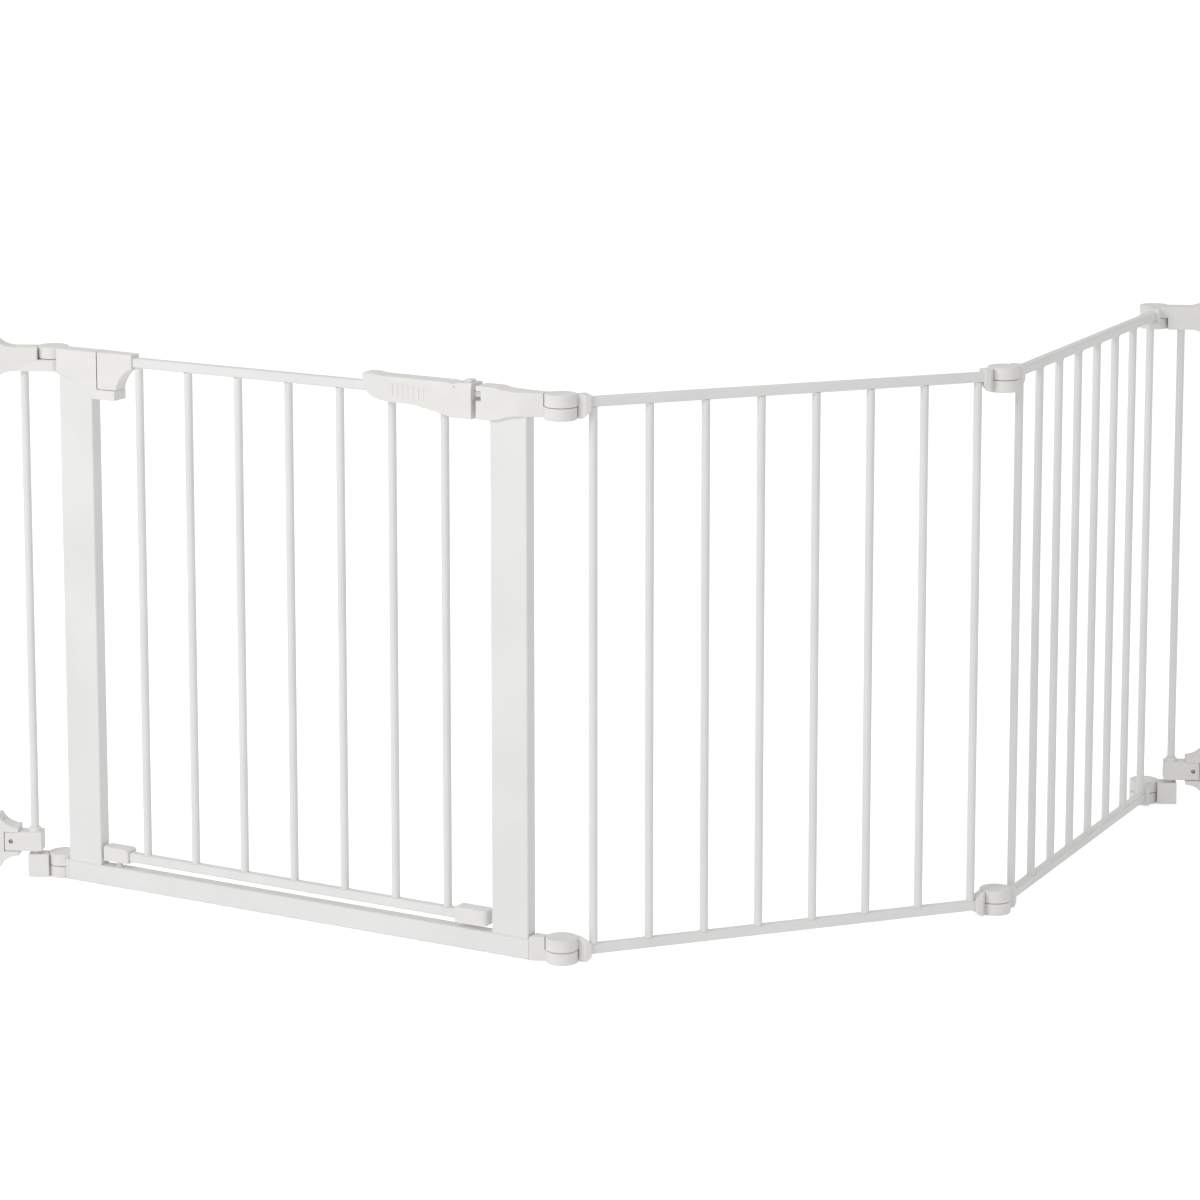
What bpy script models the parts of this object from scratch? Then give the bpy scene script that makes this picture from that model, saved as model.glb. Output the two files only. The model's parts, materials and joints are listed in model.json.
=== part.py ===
"""Configurable steel pet gate: a walk-through door section, two barred panels and two wall arms.

The sections stand in a zigzag and are joined by four vertical knuckle hinges, called hinge 1 to
hinge 4 from left to right.  At every hinge the left-hand section carries the lower disc, which has
a bore, and the right-hand section carries the upper disc with its pin.

Each section is modelled in its own frame: +X runs along the section to the right, -Y is its front
and +Z is up, with the section's left hinge axis at X = 0 and the floor at Z = 0.  Sizes are metres.
"""

import math

import bmesh
import bpy
from mathutils import Matrix, Vector

# ---------------------------------------------------------------- driving dimensions
BAR_PITCH = 0.0762              # 3 inches, centre to centre, in the fixed panels
BARS_PER_PANEL = 8
PANEL_END_TO_BAR = 0.0403       # hinge axis to the nearest bar
PANEL_SPAN = (BARS_PER_PANEL - 1) * BAR_PITCH + 2 * PANEL_END_TO_BAR
FRAME_SPAN = 0.7905             # hinge 1 to hinge 2, across the door section
ARM_SPAN = 0.090                # hinge axis to wall

HEADING_FRAME = -25.5           # plan angle of each section, degrees from the wall-to-wall line
HEADING_PANEL_1 = 24.4
HEADING_PANEL_2 = 67.5
HEADING_ARMS = 0.0

MID = -0.0075                   # the sections' middle plane stands this far in front of the axes

BAR_RADIUS = 0.0055
BAR_WALL = 0.0009
RAIL_SIZE = 0.0130
RAIL_WALL = 0.0011
RAIL_CORNER = 0.0025
RAIL_SOCKET_X = 0.0250          # hinge axis to the blind end of a panel knuckle's rail socket
TOP_RAIL_Z = 0.7260             # centre heights
BOTTOM_RAIL_Z = 0.0155
DOOR_BOTTOM_RAIL_Z = 0.0440

KNUCKLE_RADIUS = 0.0210
KNUCKLE_HEIGHT = 0.0330         # both discs together
TOP_KNUCKLE_Z = 0.7045          # underside of the upper knuckles
BOTTOM_KNUCKLE_Z = 0.0
DISC_GAP = 0.0008
PIN_RADIUS = 0.0060
PIN_CLEARANCE = 0.0004
RELIEF = 0.0009                 # room around the neighbour's disc
FIT = 0.0003                    # room between pieces that touch

POST_WIDTH = 0.0540
POST_DEPTH = 0.0200
POST_WALL = 0.0013
THRESHOLD_HEIGHT = 0.0280
THRESHOLD_WALL = 0.0015
THRESHOLD_START = 0.0208        # from hinge 1; the left plug's rim stands before it
HINGE_POST_X = 0.0490           # centre lines, from hinge 1
LATCH_POST_X = FRAME_SPAN - 0.0668
HINGE_POST_TOP = 0.7150
LATCH_POST_TOP = 0.7250

HOUSING_HALF_DEPTH = 0.0130
DOOR_PIVOT_X = 0.1000           # from hinge 1, in the sections' middle plane
DOOR_KNUCKLE_HALF_DEPTH = 0.0125
UPPER_SWING_RADIUS = 0.0177     # the door knuckles' rounded backs, about the pivot
LOWER_SWING_RADIUS = 0.0220
DOOR_BARS = 7
DOOR_BAR_PITCH = 0.0795
DOOR_FIRST_BAR = 0.0475         # from the door's pivot
DOOR_LAST_BAR = DOOR_FIRST_BAR + (DOOR_BARS - 1) * DOOR_BAR_PITCH
DOOR_KNUCKLE_TOP = 0.7372
LIP_TOP = 0.6867                # bearing lip under the door's upper knuckle
LIP_BOTTOM = 0.6735
LIP_PIN_RADIUS = 0.0050         # the door turns on this pin above and on the floor pin below
LIP_PIN_TOP = LIP_TOP + 0.0200
FLOOR_PIN_RADIUS = 0.0040
GUSSET_RISE = 0.0300
GUSSET_POWER = 1.6              # between a circle's 2 and a straight chamfer's 1

HANDLE_LEFT = 0.4067            # from the door's pivot
HANDLE_RIGHT = 0.5722
HANDLE_HALF_DEPTH = 0.0150
LATCH_TRAVEL = 0.0085
BUTTON_LEFT = 0.5560            # the slide's thumb button, in its latched place
BUTTON_RIGHT = 0.5675
BUTTON_HALF_DEPTH = 0.0062
BUTTON_TOP = 0.7468
SLIDE_LOW = 0.7212
SLIDE_HIGH = 0.7358
TONGUE_LOW = 0.7252
TONGUE_HIGH = 0.7318
TONGUE_END = 0.5850
SPRING_LEFT = 0.5336
SPRING_RIGHT = 0.5511
SPRING_COIL_RADIUS = 0.0036
SPRING_WIRE_RADIUS = 0.0005
SPRING_TURNS = 7

ARM_BAR_X = 0.0380              # wall arms: hinge axis to the upright bar
ARM_HALF_DEPTH = 0.0135         # the arm's front is tangent to the discs
EDGE_X = 0.0182                 # an arm's upright front edge beside the neighbour's disc
NECK_Y = -0.0105                # front of the neck behind that edge
FLARE_START = 0.0500
FLARE_RADIUS = 0.0360
FLARE_END = 0.0840
BLOCK_LOW = 0.0370
BLOCK_HIGH = 0.0640
BLOCK_END = 0.0790
CUP_START = 0.0590
CUP_HALF_HEIGHT = 0.0200
WALL_SCREW_RADIUS = 0.0025

ROUND = 28                      # sides of a knuckle disc
BAR_SIDES = 12
PIN_SIDES = 16                  # of the door's two pivot pins
SCREW_SIDES = 12
PAST = 0.002                    # how far a cutter reaches past the face it cuts


# ---------------------------------------------------------------- materials
def material(name, colour, roughness, metallic=0.0):
    made = bpy.data.materials.new(name)
    made.use_nodes = True
    shader = made.node_tree.nodes["Principled BSDF"]
    shader.inputs["Base Color"].default_value = (*colour, 1.0)
    shader.inputs["Roughness"].default_value = roughness
    shader.inputs["Metallic"].default_value = metallic
    return made


# ---------------------------------------------------------------- mesh tools
def object_from(name, mesh_maker, parent, place=(0.0, 0.0, 0.0), paint=None):
    """A mesh object under parent, with its faces turned out and its round sides smooth."""
    mesh = bpy.data.meshes.new(name)
    edit = bmesh.new()
    mesh_maker(edit)
    bmesh.ops.recalc_face_normals(edit, faces=edit.faces)
    edit.to_mesh(mesh)
    edit.free()
    if paint:
        mesh.materials.append(paint)
    made = bpy.data.objects.new(name, mesh)
    bpy.context.scene.collection.objects.link(made)
    made.parent = parent
    made.location = place
    return made


def smooth(made, degrees=35.0):
    made.data.shade_smooth()
    made.data.set_sharp_from_angle(angle=math.radians(degrees))
    return made


def empty(name, parent=None, place=(0.0, 0.0, 0.0), heading=0.0):
    made = bpy.data.objects.new(name, None)
    bpy.context.scene.collection.objects.link(made)
    made.parent = parent
    made.location = place
    made.rotation_euler = (0.0, 0.0, math.radians(heading))
    return made


def extruded(outline, low, high, along):
    """Mesh maker: an outline pushed from low to high along 'X', 'Y' or 'Z'."""
    def point(a, b, height):
        return {"X": (height, a, b), "Y": (a, height, b), "Z": (a, b, height)}[along]

    def make(edit):
        lower = [edit.verts.new(point(a, b, low)) for a, b in outline]
        upper = [edit.verts.new(point(a, b, high)) for a, b in outline]
        edit.faces.new(lower)
        edit.faces.new(upper)
        for here in range(len(outline)):
            there = (here + 1) % len(outline)
            edit.faces.new((lower[here], lower[there], upper[there], upper[here]))
    return make


def tube(outer, inner, low, high, along):
    """Mesh maker: a hollow section, open at both ends."""
    def point(a, b, height):
        return {"X": (height, a, b), "Z": (a, b, height)}[along]

    def make(edit):
        rings = [[edit.verts.new(point(a, b, height)) for a, b in outline]
                 for outline in (outer, inner) for height in (low, high)]
        outer_low, outer_high, inner_low, inner_high = rings
        for first, second in ((outer_low, outer_high), (inner_low, inner_high),
                              (outer_low, inner_low), (outer_high, inner_high)):
            for here in range(len(first)):
                there = (here + 1) % len(first)
                edit.faces.new((first[here], first[there], second[there], second[here]))
    return make


def plug(radius, low, high, sides, centre=(0.0, 0.0), axis="Z"):
    """Mesh maker: a plain round pin, or the cutter of a plain hole."""
    return turned([(0.0, low), (radius, low), (radius, high), (0.0, high)], sides, centre, axis)


def turned(profile, sides, centre=(0.0, 0.0), axis="Z"):
    """Mesh maker: (radius, height) points turned about an axis; a radius of 0 makes a pole."""
    def make(edit):
        rings = []
        for radius, height in profile:
            count = 1 if radius == 0.0 else sides
            ring = []
            for step in range(count):
                angle = 2.0 * math.pi * (step + 0.5) / sides
                a = centre[0] + radius * math.cos(angle)
                b = centre[1] + radius * math.sin(angle)
                place = (a, b, height) if axis == "Z" else (height, a, b) if axis == "X" else (a, height, b)
                ring.append(edit.verts.new(place))
            rings.append(ring)
        closed = profile[0][0] > 0.0
        pairs = list(zip(rings, rings[1:] + rings[:1])) if closed else list(zip(rings, rings[1:]))
        for first, second in pairs:
            for here in range(sides):
                there = (here + 1) % sides
                corners = [first[here % len(first)], first[there % len(first)],
                           second[there % len(second)], second[here % len(second)]]
                edit.faces.new(list(dict.fromkeys(corners)))
    return make


def box(low, high):
    """Mesh maker: a box between two corners."""
    outline = [(low[0], low[1]), (high[0], low[1]), (high[0], high[1]), (low[0], high[1])]
    return extruded(outline, low[2], high[2], "Z")


def rounded_rectangle(half_a, half_b, corner, centre=(0.0, 0.0), steps=2):
    points = []
    for quarter, (side_a, side_b) in enumerate(((1, 1), (-1, 1), (-1, -1), (1, -1))):
        for step in range(steps + 1):
            angle = math.radians(90.0 * (quarter + step / steps))
            points.append((centre[0] + side_a * (half_a - corner) + corner * math.cos(angle),
                           centre[1] + side_b * (half_b - corner) + corner * math.sin(angle)))
    return points


def circle(radius, sides, centre=(0.0, 0.0)):
    return [(centre[0] + radius * math.cos(2.0 * math.pi * (step + 0.5) / sides),
             centre[1] + radius * math.sin(2.0 * math.pi * (step + 0.5) / sides)) for step in range(sides)]


def flipped(outline, side):
    """An outline as drawn for side = 1, or its mirror image in X for side = -1."""
    return [(side * a, b) for a, b in outline]


def combine(target, operation, mesh_maker, place=(0.0, 0.0, 0.0)):
    """Cut, join or cross a target with a hidden helper solid."""
    helper = object_from(f"{target.name}_{operation.lower()}_{len(target.modifiers)}", mesh_maker,
                         target.parent, Vector(target.location) + Vector(place))
    helper.hide_render = True
    helper.display_type = "WIRE"
    step = target.modifiers.new(operation.title(), "BOOLEAN")
    step.operation = operation
    step.solver = "EXACT"
    step.object = helper
    return target


# ---------------------------------------------------------------- hinge knuckles
def seam_height(low):
    return low + KNUCKLE_HEIGHT / 2.0


def disc(low, upper):
    """Mesh maker: one knuckle disc, the upper with its pin or the lower with its bore."""
    edge = 0.0012
    high = low + KNUCKLE_HEIGHT
    seam = seam_height(low)
    if upper:
        bottom = seam + DISC_GAP / 2.0
        profile = [(0.0, low + 0.002), (PIN_RADIUS, low + 0.002), (PIN_RADIUS, bottom),
                   (KNUCKLE_RADIUS, bottom), (KNUCKLE_RADIUS, high - edge),
                   (KNUCKLE_RADIUS - edge, high), (0.0, high)]
    else:
        bore = PIN_RADIUS + PIN_CLEARANCE
        top = seam - DISC_GAP / 2.0
        profile = [(bore, low), (KNUCKLE_RADIUS - edge, low), (KNUCKLE_RADIUS, low + edge),
                   (KNUCKLE_RADIUS, top), (bore, top)]
    return turned(profile, ROUND)


def add_disc(body, low, upper):
    """Join a disc to a hinge half at X = 0, and clear the neighbour's disc out of its body."""
    seam = seam_height(low)
    radius = KNUCKLE_RADIUS + RELIEF
    below, above = low - PAST, low + KNUCKLE_HEIGHT + PAST
    span = (below, seam + DISC_GAP / 2.0) if upper else (seam - DISC_GAP / 2.0, above)
    combine(body, "DIFFERENCE", plug(radius, *span, ROUND))
    combine(body, "UNION", disc(low, upper))
    if not upper:
        combine(body, "DIFFERENCE", plug(PIN_RADIUS + PIN_CLEARANCE, below, above, ROUND))
    return body


def crossed(name, parent, place, plan, elevation, paint):
    """A body that has the plan seen from above and the elevation seen from the front."""
    heights = [z for _, z in elevation]
    depths = [y for _, y in plan]
    column = extruded(plan, min(heights) - 0.001, max(heights) + 0.001, "Z")
    body = object_from(name, column, parent, place, paint)
    return combine(body, "INTERSECT", extruded(elevation, min(depths) - 0.001, max(depths) + 0.001, "Y"))


def gusset(start, end, low, steps=7):
    """Points of a concave gusset: from (start, low + rise), level, round to (end, low), upright."""
    points = []
    for step in range(steps + 1):
        share = math.sin(math.pi / 2.0 * step / steps)
        height = GUSSET_RISE * (1.0 - share ** GUSSET_POWER) ** (1.0 / GUSSET_POWER)
        points.append((start + (end - start) * share, low + height))
    return points


# ---------------------------------------------------------------- panels and rails
def bar(name, parent, x, low, high, paint, y=MID):
    """An upright round tube at x, in the section's middle plane."""
    maker = tube(circle(BAR_RADIUS, BAR_SIDES), circle(BAR_RADIUS - BAR_WALL, BAR_SIDES), 0.0, high - low, "Z")
    return smooth(object_from(name, maker, parent, (x, y, low), paint))


def rail(name, parent, start, end, height, paint, y=MID):
    """A square tube with rounded corners along X."""
    half = RAIL_SIZE / 2.0
    outer = rounded_rectangle(half, half, RAIL_CORNER)
    inner = rounded_rectangle(half - RAIL_WALL, half - RAIL_WALL, RAIL_CORNER - RAIL_WALL)
    maker = tube(outer, inner, 0.0, end - start, "X")
    return smooth(object_from(name, maker, parent, (start, y, height), paint), 50.0)


def rail_socket(height, start, end, y=MID):
    half = RAIL_SIZE / 2.0 + FIT
    return box((start, y - half, height - half), (end, y + half, height + half))


def panel_knuckle(name, parent, x, side, low, rail_height, upper, paint):
    """The plastic bracket that joins a rail's end to a hinge; side is 1 where the panel is to its right."""
    reach = 0.0345
    shoulder = 0.0235
    wall = 0.0022
    front = MID - RAIL_SIZE / 2.0 - 0.0040
    back = MID + RAIL_SIZE / 2.0 + 0.0030
    neck, edge = -0.0090, 0.0265
    plan = [(0.004, back), (0.004, neck), (edge - 0.0080, neck), (edge, front), (reach, front), (reach, back)]
    end = reach + 0.001
    high = low + KNUCKLE_HEIGHT - 0.001
    base = low + 0.001
    rail_low = rail_height - RAIL_SIZE / 2.0 - wall
    rail_high = rail_height + RAIL_SIZE / 2.0 + wall
    if rail_height > 0.3:
        elevation = [(0.003, base), (shoulder, base), (end, rail_low), (end, high), (0.003, high)]
    else:
        elevation = [(0.003, base), (shoulder + 0.003, base), (end, rail_low), (end, rail_high)]
        elevation += [(shoulder, high), (0.003, high)]
    body = crossed(name, parent, (x, 0.0, 0.0), flipped(plan, side), flipped(elevation, side), paint)
    add_disc(body, low, upper)
    ends = sorted((side * RAIL_SOCKET_X, side * (reach + 0.002)))
    combine(body, "DIFFERENCE", rail_socket(rail_height, *ends))
    return smooth(body)


def panel(name, axis, steel, plastic):
    """A barred panel: two rails, the bars between them, and a knuckle at each corner."""
    start, end = RAIL_SOCKET_X + FIT, PANEL_SPAN - RAIL_SOCKET_X - FIT
    rail(f"{name}_top_rail", axis, start, end, TOP_RAIL_Z, steel)
    rail(f"{name}_bottom_rail", axis, start, end, BOTTOM_RAIL_Z, steel)
    low = BOTTOM_RAIL_Z + RAIL_SIZE / 2.0 + FIT
    high = TOP_RAIL_Z - RAIL_SIZE / 2.0 - FIT
    for number in range(BARS_PER_PANEL):
        bar(f"{name}_bar_{number + 1}", axis, PANEL_END_TO_BAR + number * BAR_PITCH, low, high, steel)
    for place, side, x, upper in (("left", 1, 0.0, True), ("right", -1, PANEL_SPAN, False)):
        panel_knuckle(f"{name}_{place}_upper_knuckle", axis, x, side, TOP_KNUCKLE_Z, TOP_RAIL_Z, upper, plastic)
        panel_knuckle(f"{name}_{place}_lower_knuckle", axis, x, side, BOTTOM_KNUCKLE_Z, BOTTOM_RAIL_Z, upper,
                      plastic)


# ---------------------------------------------------------------- door frame
def post(name, axis, x, top, steel):
    outer = rounded_rectangle(POST_WIDTH / 2.0, POST_DEPTH / 2.0, 0.002)
    inner = rounded_rectangle(POST_WIDTH / 2.0 - POST_WALL, POST_DEPTH / 2.0 - POST_WALL, 0.001)
    low = THRESHOLD_HEIGHT + FIT
    return smooth(object_from(name, tube(outer, inner, 0.0, top - low, "Z"), axis, (x, MID, low), steel), 50.0)


def threshold(axis, steel):
    """The floor bar of the door frame, coped round hinge 1's discs, with the door's lower pivot pin."""
    start, end = THRESHOLD_START, FRAME_SPAN - 0.0385
    half_depth, half_height = POST_DEPTH / 2.0, THRESHOLD_HEIGHT / 2.0
    outer = rounded_rectangle(half_depth, half_height, 0.002)
    inner = rounded_rectangle(half_depth - THRESHOLD_WALL, half_height - THRESHOLD_WALL, 0.001)
    body = object_from("threshold_bar", tube(outer, inner, start, end, "X"), axis,
                       (0.0, MID, THRESHOLD_HEIGHT / 2.0), steel)
    cope = KNUCKLE_RADIUS + RELIEF
    combine(body, "DIFFERENCE", plug(cope, -0.02, 0.02, ROUND),
            (0.0, -MID, 0.0))
    pin_low = half_height - THRESHOLD_WALL / 2.0
    pin_high = DOOR_BOTTOM_RAIL_Z + 0.004 - half_height
    combine(body, "UNION", plug(FLOOR_PIN_RADIUS, pin_low, pin_high, PIN_SIDES),
            (DOOR_PIVOT_X, 0.0, 0.0))
    return smooth(body, 50.0)


def post_socket(x, top):
    half_width, half_depth = POST_WIDTH / 2.0 + FIT, POST_DEPTH / 2.0 + FIT
    return box((x - half_width, MID - half_depth, top - 0.06), (x + half_width, MID + half_depth, top + FIT))


def hinge_side_housing(axis, plastic):
    """The corner casing on the hinge post: hinge 1's upper disc, a gusset and the door's bearing lip."""
    front, back = MID - HOUSING_HALF_DEPTH, MID + HOUSING_HALF_DEPTH
    lip_end, wall_end = 0.1155, 0.0867
    high = TOP_KNUCKLE_Z + KNUCKLE_HEIGHT - 0.0003
    edge, neck = 0.0197, -0.0080
    plan = [(0.002, back), (0.002, neck), (edge, neck), (edge, front), (lip_end, front), (lip_end, back)]
    elevation = [(0.001, high), (0.001, TOP_KNUCKLE_Z + 0.0005)]
    elevation += gusset(0.0175, 0.0749, LIP_BOTTOM)
    elevation += [(lip_end + 0.001, LIP_BOTTOM), (lip_end + 0.001, LIP_TOP)]
    elevation += [(wall_end, LIP_TOP), (wall_end, high)]
    body = crossed("hinge_side_housing", axis, (0.0, 0.0, 0.0), plan, elevation, plastic)
    add_disc(body, TOP_KNUCKLE_Z, True)
    pivot = (DOOR_PIVOT_X, MID)
    clear = UPPER_SWING_RADIUS + RELIEF
    combine(body, "DIFFERENCE", plug(clear, LIP_TOP, high + 0.01, 24, pivot))
    combine(body, "UNION", plug(LIP_PIN_RADIUS, LIP_TOP - 0.004, LIP_PIN_TOP, PIN_SIDES, pivot))
    combine(body, "DIFFERENCE", post_socket(HINGE_POST_X, HINGE_POST_TOP))
    return smooth(body)


def latch_side_housing(axis, plastic):
    """The strike casing on the latch post, with the tongue's notch and hinge 2's lower disc."""
    front, back = MID - HANDLE_HALF_DEPTH, MID + HANDLE_HALF_DEPTH
    left = -0.1125
    bevel, neck = 0.002, -0.0105
    plan = [(-0.002, back), (left + bevel, back), (left, back - bevel), (left, front + bevel),
            (left + bevel, front), (-0.0505, front), (-0.0165, neck), (-0.002, neck)]
    elevation = [(-0.001, 0.7065), (-0.001, 0.7370), (-0.0365, 0.7372), (-0.0750, 0.7382), (-0.082, 0.7408),
                 (left - 0.001, 0.7408), (left - 0.001, 0.698), (-0.0895, 0.698), (-0.080, 0.6995),
                 (-0.070, 0.7030), (-0.060, 0.7055), (-0.050, 0.7065)]
    body = crossed("latch_side_housing", axis, (FRAME_SPAN, 0.0, 0.0), plan, elevation, plastic)
    add_disc(body, TOP_KNUCKLE_Z, False)
    combine(body, "DIFFERENCE", post_socket(LATCH_POST_X - FRAME_SPAN, LATCH_POST_TOP))
    combine(body, "DIFFERENCE", box((left - 0.002, front - 0.002, 0.7215), (-0.1035, back + 0.002, 0.7345)))
    return smooth(body)


def frame_lower_knuckles(axis, plastic):
    """End plugs of the threshold: hinge 1's upper disc and hinge 2's lower disc."""
    half_depth = POST_DEPTH / 2.0 - THRESHOLD_WALL - FIT
    plug_high = THRESHOLD_HEIGHT - THRESHOLD_WALL - FIT
    plug_low = THRESHOLD_WALL + FIT
    inner = box((0.002, MID - half_depth, plug_low), (0.050, MID + half_depth, plug_high))
    left = object_from("frame_lower_left_knuckle", inner, axis, paint=plastic)
    rim_half_depth = POST_DEPTH / 2.0
    combine(left, "UNION", box((0.0160, MID - rim_half_depth, 0.0003),
                               (THRESHOLD_START - FIT, MID + rim_half_depth, THRESHOLD_HEIGHT)))
    smooth(add_disc(left, BOTTOM_KNUCKLE_Z, True))

    front, back = MID - POST_DEPTH / 2.0 - 0.001, MID + POST_DEPTH / 2.0
    shoulder = -0.0385 + FIT
    high = BOTTOM_KNUCKLE_Z + KNUCKLE_HEIGHT - 0.001
    neck = -0.0105
    plan = [(-0.002, back), (-0.060, back), (-0.060, front), (-0.0355, front), (-0.0165, neck), (-0.002, neck)]
    elevation = [(-0.001, 0.001), (shoulder, 0.001), (shoulder, high), (-0.001, high)]
    right = crossed("frame_lower_right_knuckle", axis, (FRAME_SPAN, 0.0, 0.0), plan, elevation, plastic)
    add_disc(right, BOTTOM_KNUCKLE_Z, False)
    combine(right, "UNION", box((-0.060, MID - half_depth, plug_low), (-0.030, MID + half_depth, plug_high)))
    smooth(right)


def door_frame(axis, steel, plastic):
    post("hinge_post", axis, HINGE_POST_X, HINGE_POST_TOP, steel)
    post("latch_post", axis, LATCH_POST_X, LATCH_POST_TOP, steel)
    threshold(axis, steel)
    hinge_side_housing(axis, plastic)
    latch_side_housing(axis, plastic)
    frame_lower_knuckles(axis, plastic)


# ---------------------------------------------------------------- door
# The door and the latch are modelled from the door's pivot: X = 0, Y = 0 is the pivot's axis.
def swing_plan(radius, half_depth, end, end_half_depth):
    """A plan with a rounded back about the pivot, flat sides, and a flat end."""
    widest = math.asin(half_depth / radius)
    steps = 6
    points = []
    for step in range(steps + 1):
        angle = math.pi - widest + 2.0 * widest * step / steps
        points.append((radius * math.cos(angle), radius * math.sin(angle)))
    return points + [(end, -end_half_depth), (end, end_half_depth)]


def door_knuckles(axis, plastic):
    """The door's pivots: a gusseted upper knuckle on the bearing lip, and a lower cap over the floor pin."""
    end, gusset_end = 0.0415, 0.0165
    left = -UPPER_SWING_RADIUS - 0.001
    low = LIP_TOP + DISC_GAP / 2.0
    plan = swing_plan(UPPER_SWING_RADIUS, DOOR_KNUCKLE_HALF_DEPTH, end, DOOR_KNUCKLE_HALF_DEPTH - 0.0030)
    elevation = [(left, low), (gusset_end, low)] + gusset(end, gusset_end, low)[::-1]
    elevation += [(end + 0.001, low + GUSSET_RISE), (end + 0.001, DOOR_KNUCKLE_TOP), (left, DOOR_KNUCKLE_TOP)]
    upper = crossed("door_upper_knuckle", axis, (0.0, 0.0, 0.0), plan, elevation, plastic)
    bore, bore_top = LIP_PIN_RADIUS + PIN_CLEARANCE, LIP_PIN_TOP + 0.0005
    combine(upper, "DIFFERENCE", plug(bore, low - PAST, bore_top, PIN_SIDES))
    combine(upper, "DIFFERENCE", rail_socket(TOP_RAIL_Z, 0.0195, end + 0.002, 0.0))
    smooth(upper)

    end, half_depth = 0.0208, 0.0105
    left = -LOWER_SWING_RADIUS - 0.001
    low, high = DOOR_BOTTOM_RAIL_Z - 0.0085, DOOR_BOTTOM_RAIL_Z + 0.0115
    plan = swing_plan(LOWER_SWING_RADIUS, half_depth, end, half_depth)
    elevation = [(left, low), (end + 0.001, low), (end + 0.001, high - 0.002), (end - 0.004, high)]
    elevation += [(left, high)]
    lower = crossed("door_lower_knuckle", axis, (0.0, 0.0, 0.0), plan, elevation, plastic)
    top = DOOR_BOTTOM_RAIL_Z + 0.0045
    combine(lower, "DIFFERENCE", plug(FLOOR_PIN_RADIUS + PIN_CLEARANCE, low - PAST, top, PIN_SIDES))
    combine(lower, "DIFFERENCE", rail_socket(DOOR_BOTTOM_RAIL_Z, 0.0072, end + 0.002, 0.0))
    smooth(lower)


def door_end_cap(axis, plastic):
    """The cap on the free end of the door's bottom rail."""
    start, end = 0.5415, 0.5885
    low, high = DOOR_BOTTOM_RAIL_Z - 0.0090, DOOR_BOTTOM_RAIL_Z + 0.0110
    half_depth, corner = 0.0105, 0.0075
    cut = corner * (1.0 - math.sqrt(0.5))
    front_corner = [(end - corner, -half_depth), (end - cut, cut - half_depth), (end, corner - half_depth)]
    back_corner = [(x, -y) for x, y in front_corner[::-1]]
    plan = [(start, half_depth), (start, -half_depth)] + front_corner + back_corner
    elevation = [(start - 0.001, low), (end - 0.001, low), (end + 0.001, low + 0.002)]
    elevation += [(end + 0.001, high - 0.002), (end - 0.001, high), (start - 0.001, high)]
    cap = crossed("door_end_cap", axis, (0.0, 0.0, 0.0), plan, elevation, plastic)
    combine(cap, "DIFFERENCE", rail_socket(DOOR_BOTTOM_RAIL_Z, start - 0.002, start + 0.0250, 0.0))
    return smooth(cap)


def finger_grooves(start, start_height, end, end_height, grooves=4, depth=0.0009, steps=4):
    """A falling line with shallow scallops for the fingers."""
    points = []
    for step in range(grooves * steps + 1):
        share = step / (grooves * steps)
        scallop = depth * abs(math.sin(math.pi * grooves * share))
        height = start_height + (end_height - start_height) * share
        points.append((start + (end - start) * share, height + scallop))
    return points


def handle(axis, plastic):
    """The grip on the free end of the top rail, hollow for the rail and for the latch slide."""
    half_depth = HANDLE_HALF_DEPTH
    shoulder = HANDLE_LEFT + 0.010
    plan = [(HANDLE_LEFT, half_depth - 0.005), (HANDLE_LEFT, 0.005 - half_depth), (shoulder, -half_depth),
            (HANDLE_RIGHT, -half_depth), (HANDLE_RIGHT, half_depth), (shoulder, half_depth)]
    left, right = HANDLE_LEFT - 0.001, HANDLE_RIGHT + 0.001
    elevation = [(left, 0.7425), (left, 0.7330), (0.4135, 0.7240), (0.4225, 0.7160), (0.4345, 0.7110)]
    elevation += [(0.4495, 0.7095), (0.4685, 0.7095)]
    elevation += finger_grooves(0.4845, 0.7088, 0.5405, 0.6978)
    elevation += [(0.5455, 0.6973), (right, 0.6973), (right, 0.7430), (0.5505, 0.7424), (0.5478, 0.7404),
                  (0.5400, 0.7408), (0.5365, 0.7421), (0.4315, 0.7425), (0.4225, 0.7445), (0.4125, 0.7450)]
    body = crossed("door_handle", axis, (0.0, 0.0, 0.0), plan, elevation, plastic)
    combine(body, "DIFFERENCE", rail_socket(TOP_RAIL_Z, HANDLE_LEFT - 0.005, DOOR_LAST_BAR + 0.0070, 0.0))
    combine(body, "DIFFERENCE", box((SPRING_LEFT - FIT, -0.0085, 0.7205), (0.5685, 0.0085, 0.7365)))
    combine(body, "DIFFERENCE", box((0.5675, -0.0065, TONGUE_LOW - 0.0006),
                                    (HANDLE_RIGHT + 0.002, 0.0065, TONGUE_HIGH + 0.0006)))
    slot_left, slot_half_depth = BUTTON_LEFT - LATCH_TRAVEL - 0.002, BUTTON_HALF_DEPTH + 0.0006
    combine(body, "DIFFERENCE", box((slot_left, -slot_half_depth, 0.7360),
                                     (BUTTON_RIGHT + 0.0005, slot_half_depth, 0.7500)))
    hole = BAR_RADIUS + FIT
    for x in (DOOR_LAST_BAR - DOOR_BAR_PITCH, DOOR_LAST_BAR):
        combine(body, "DIFFERENCE", plug(hole, 0.690, 0.722, BAR_SIDES, (x, 0.0)))
    return smooth(body)


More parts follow.
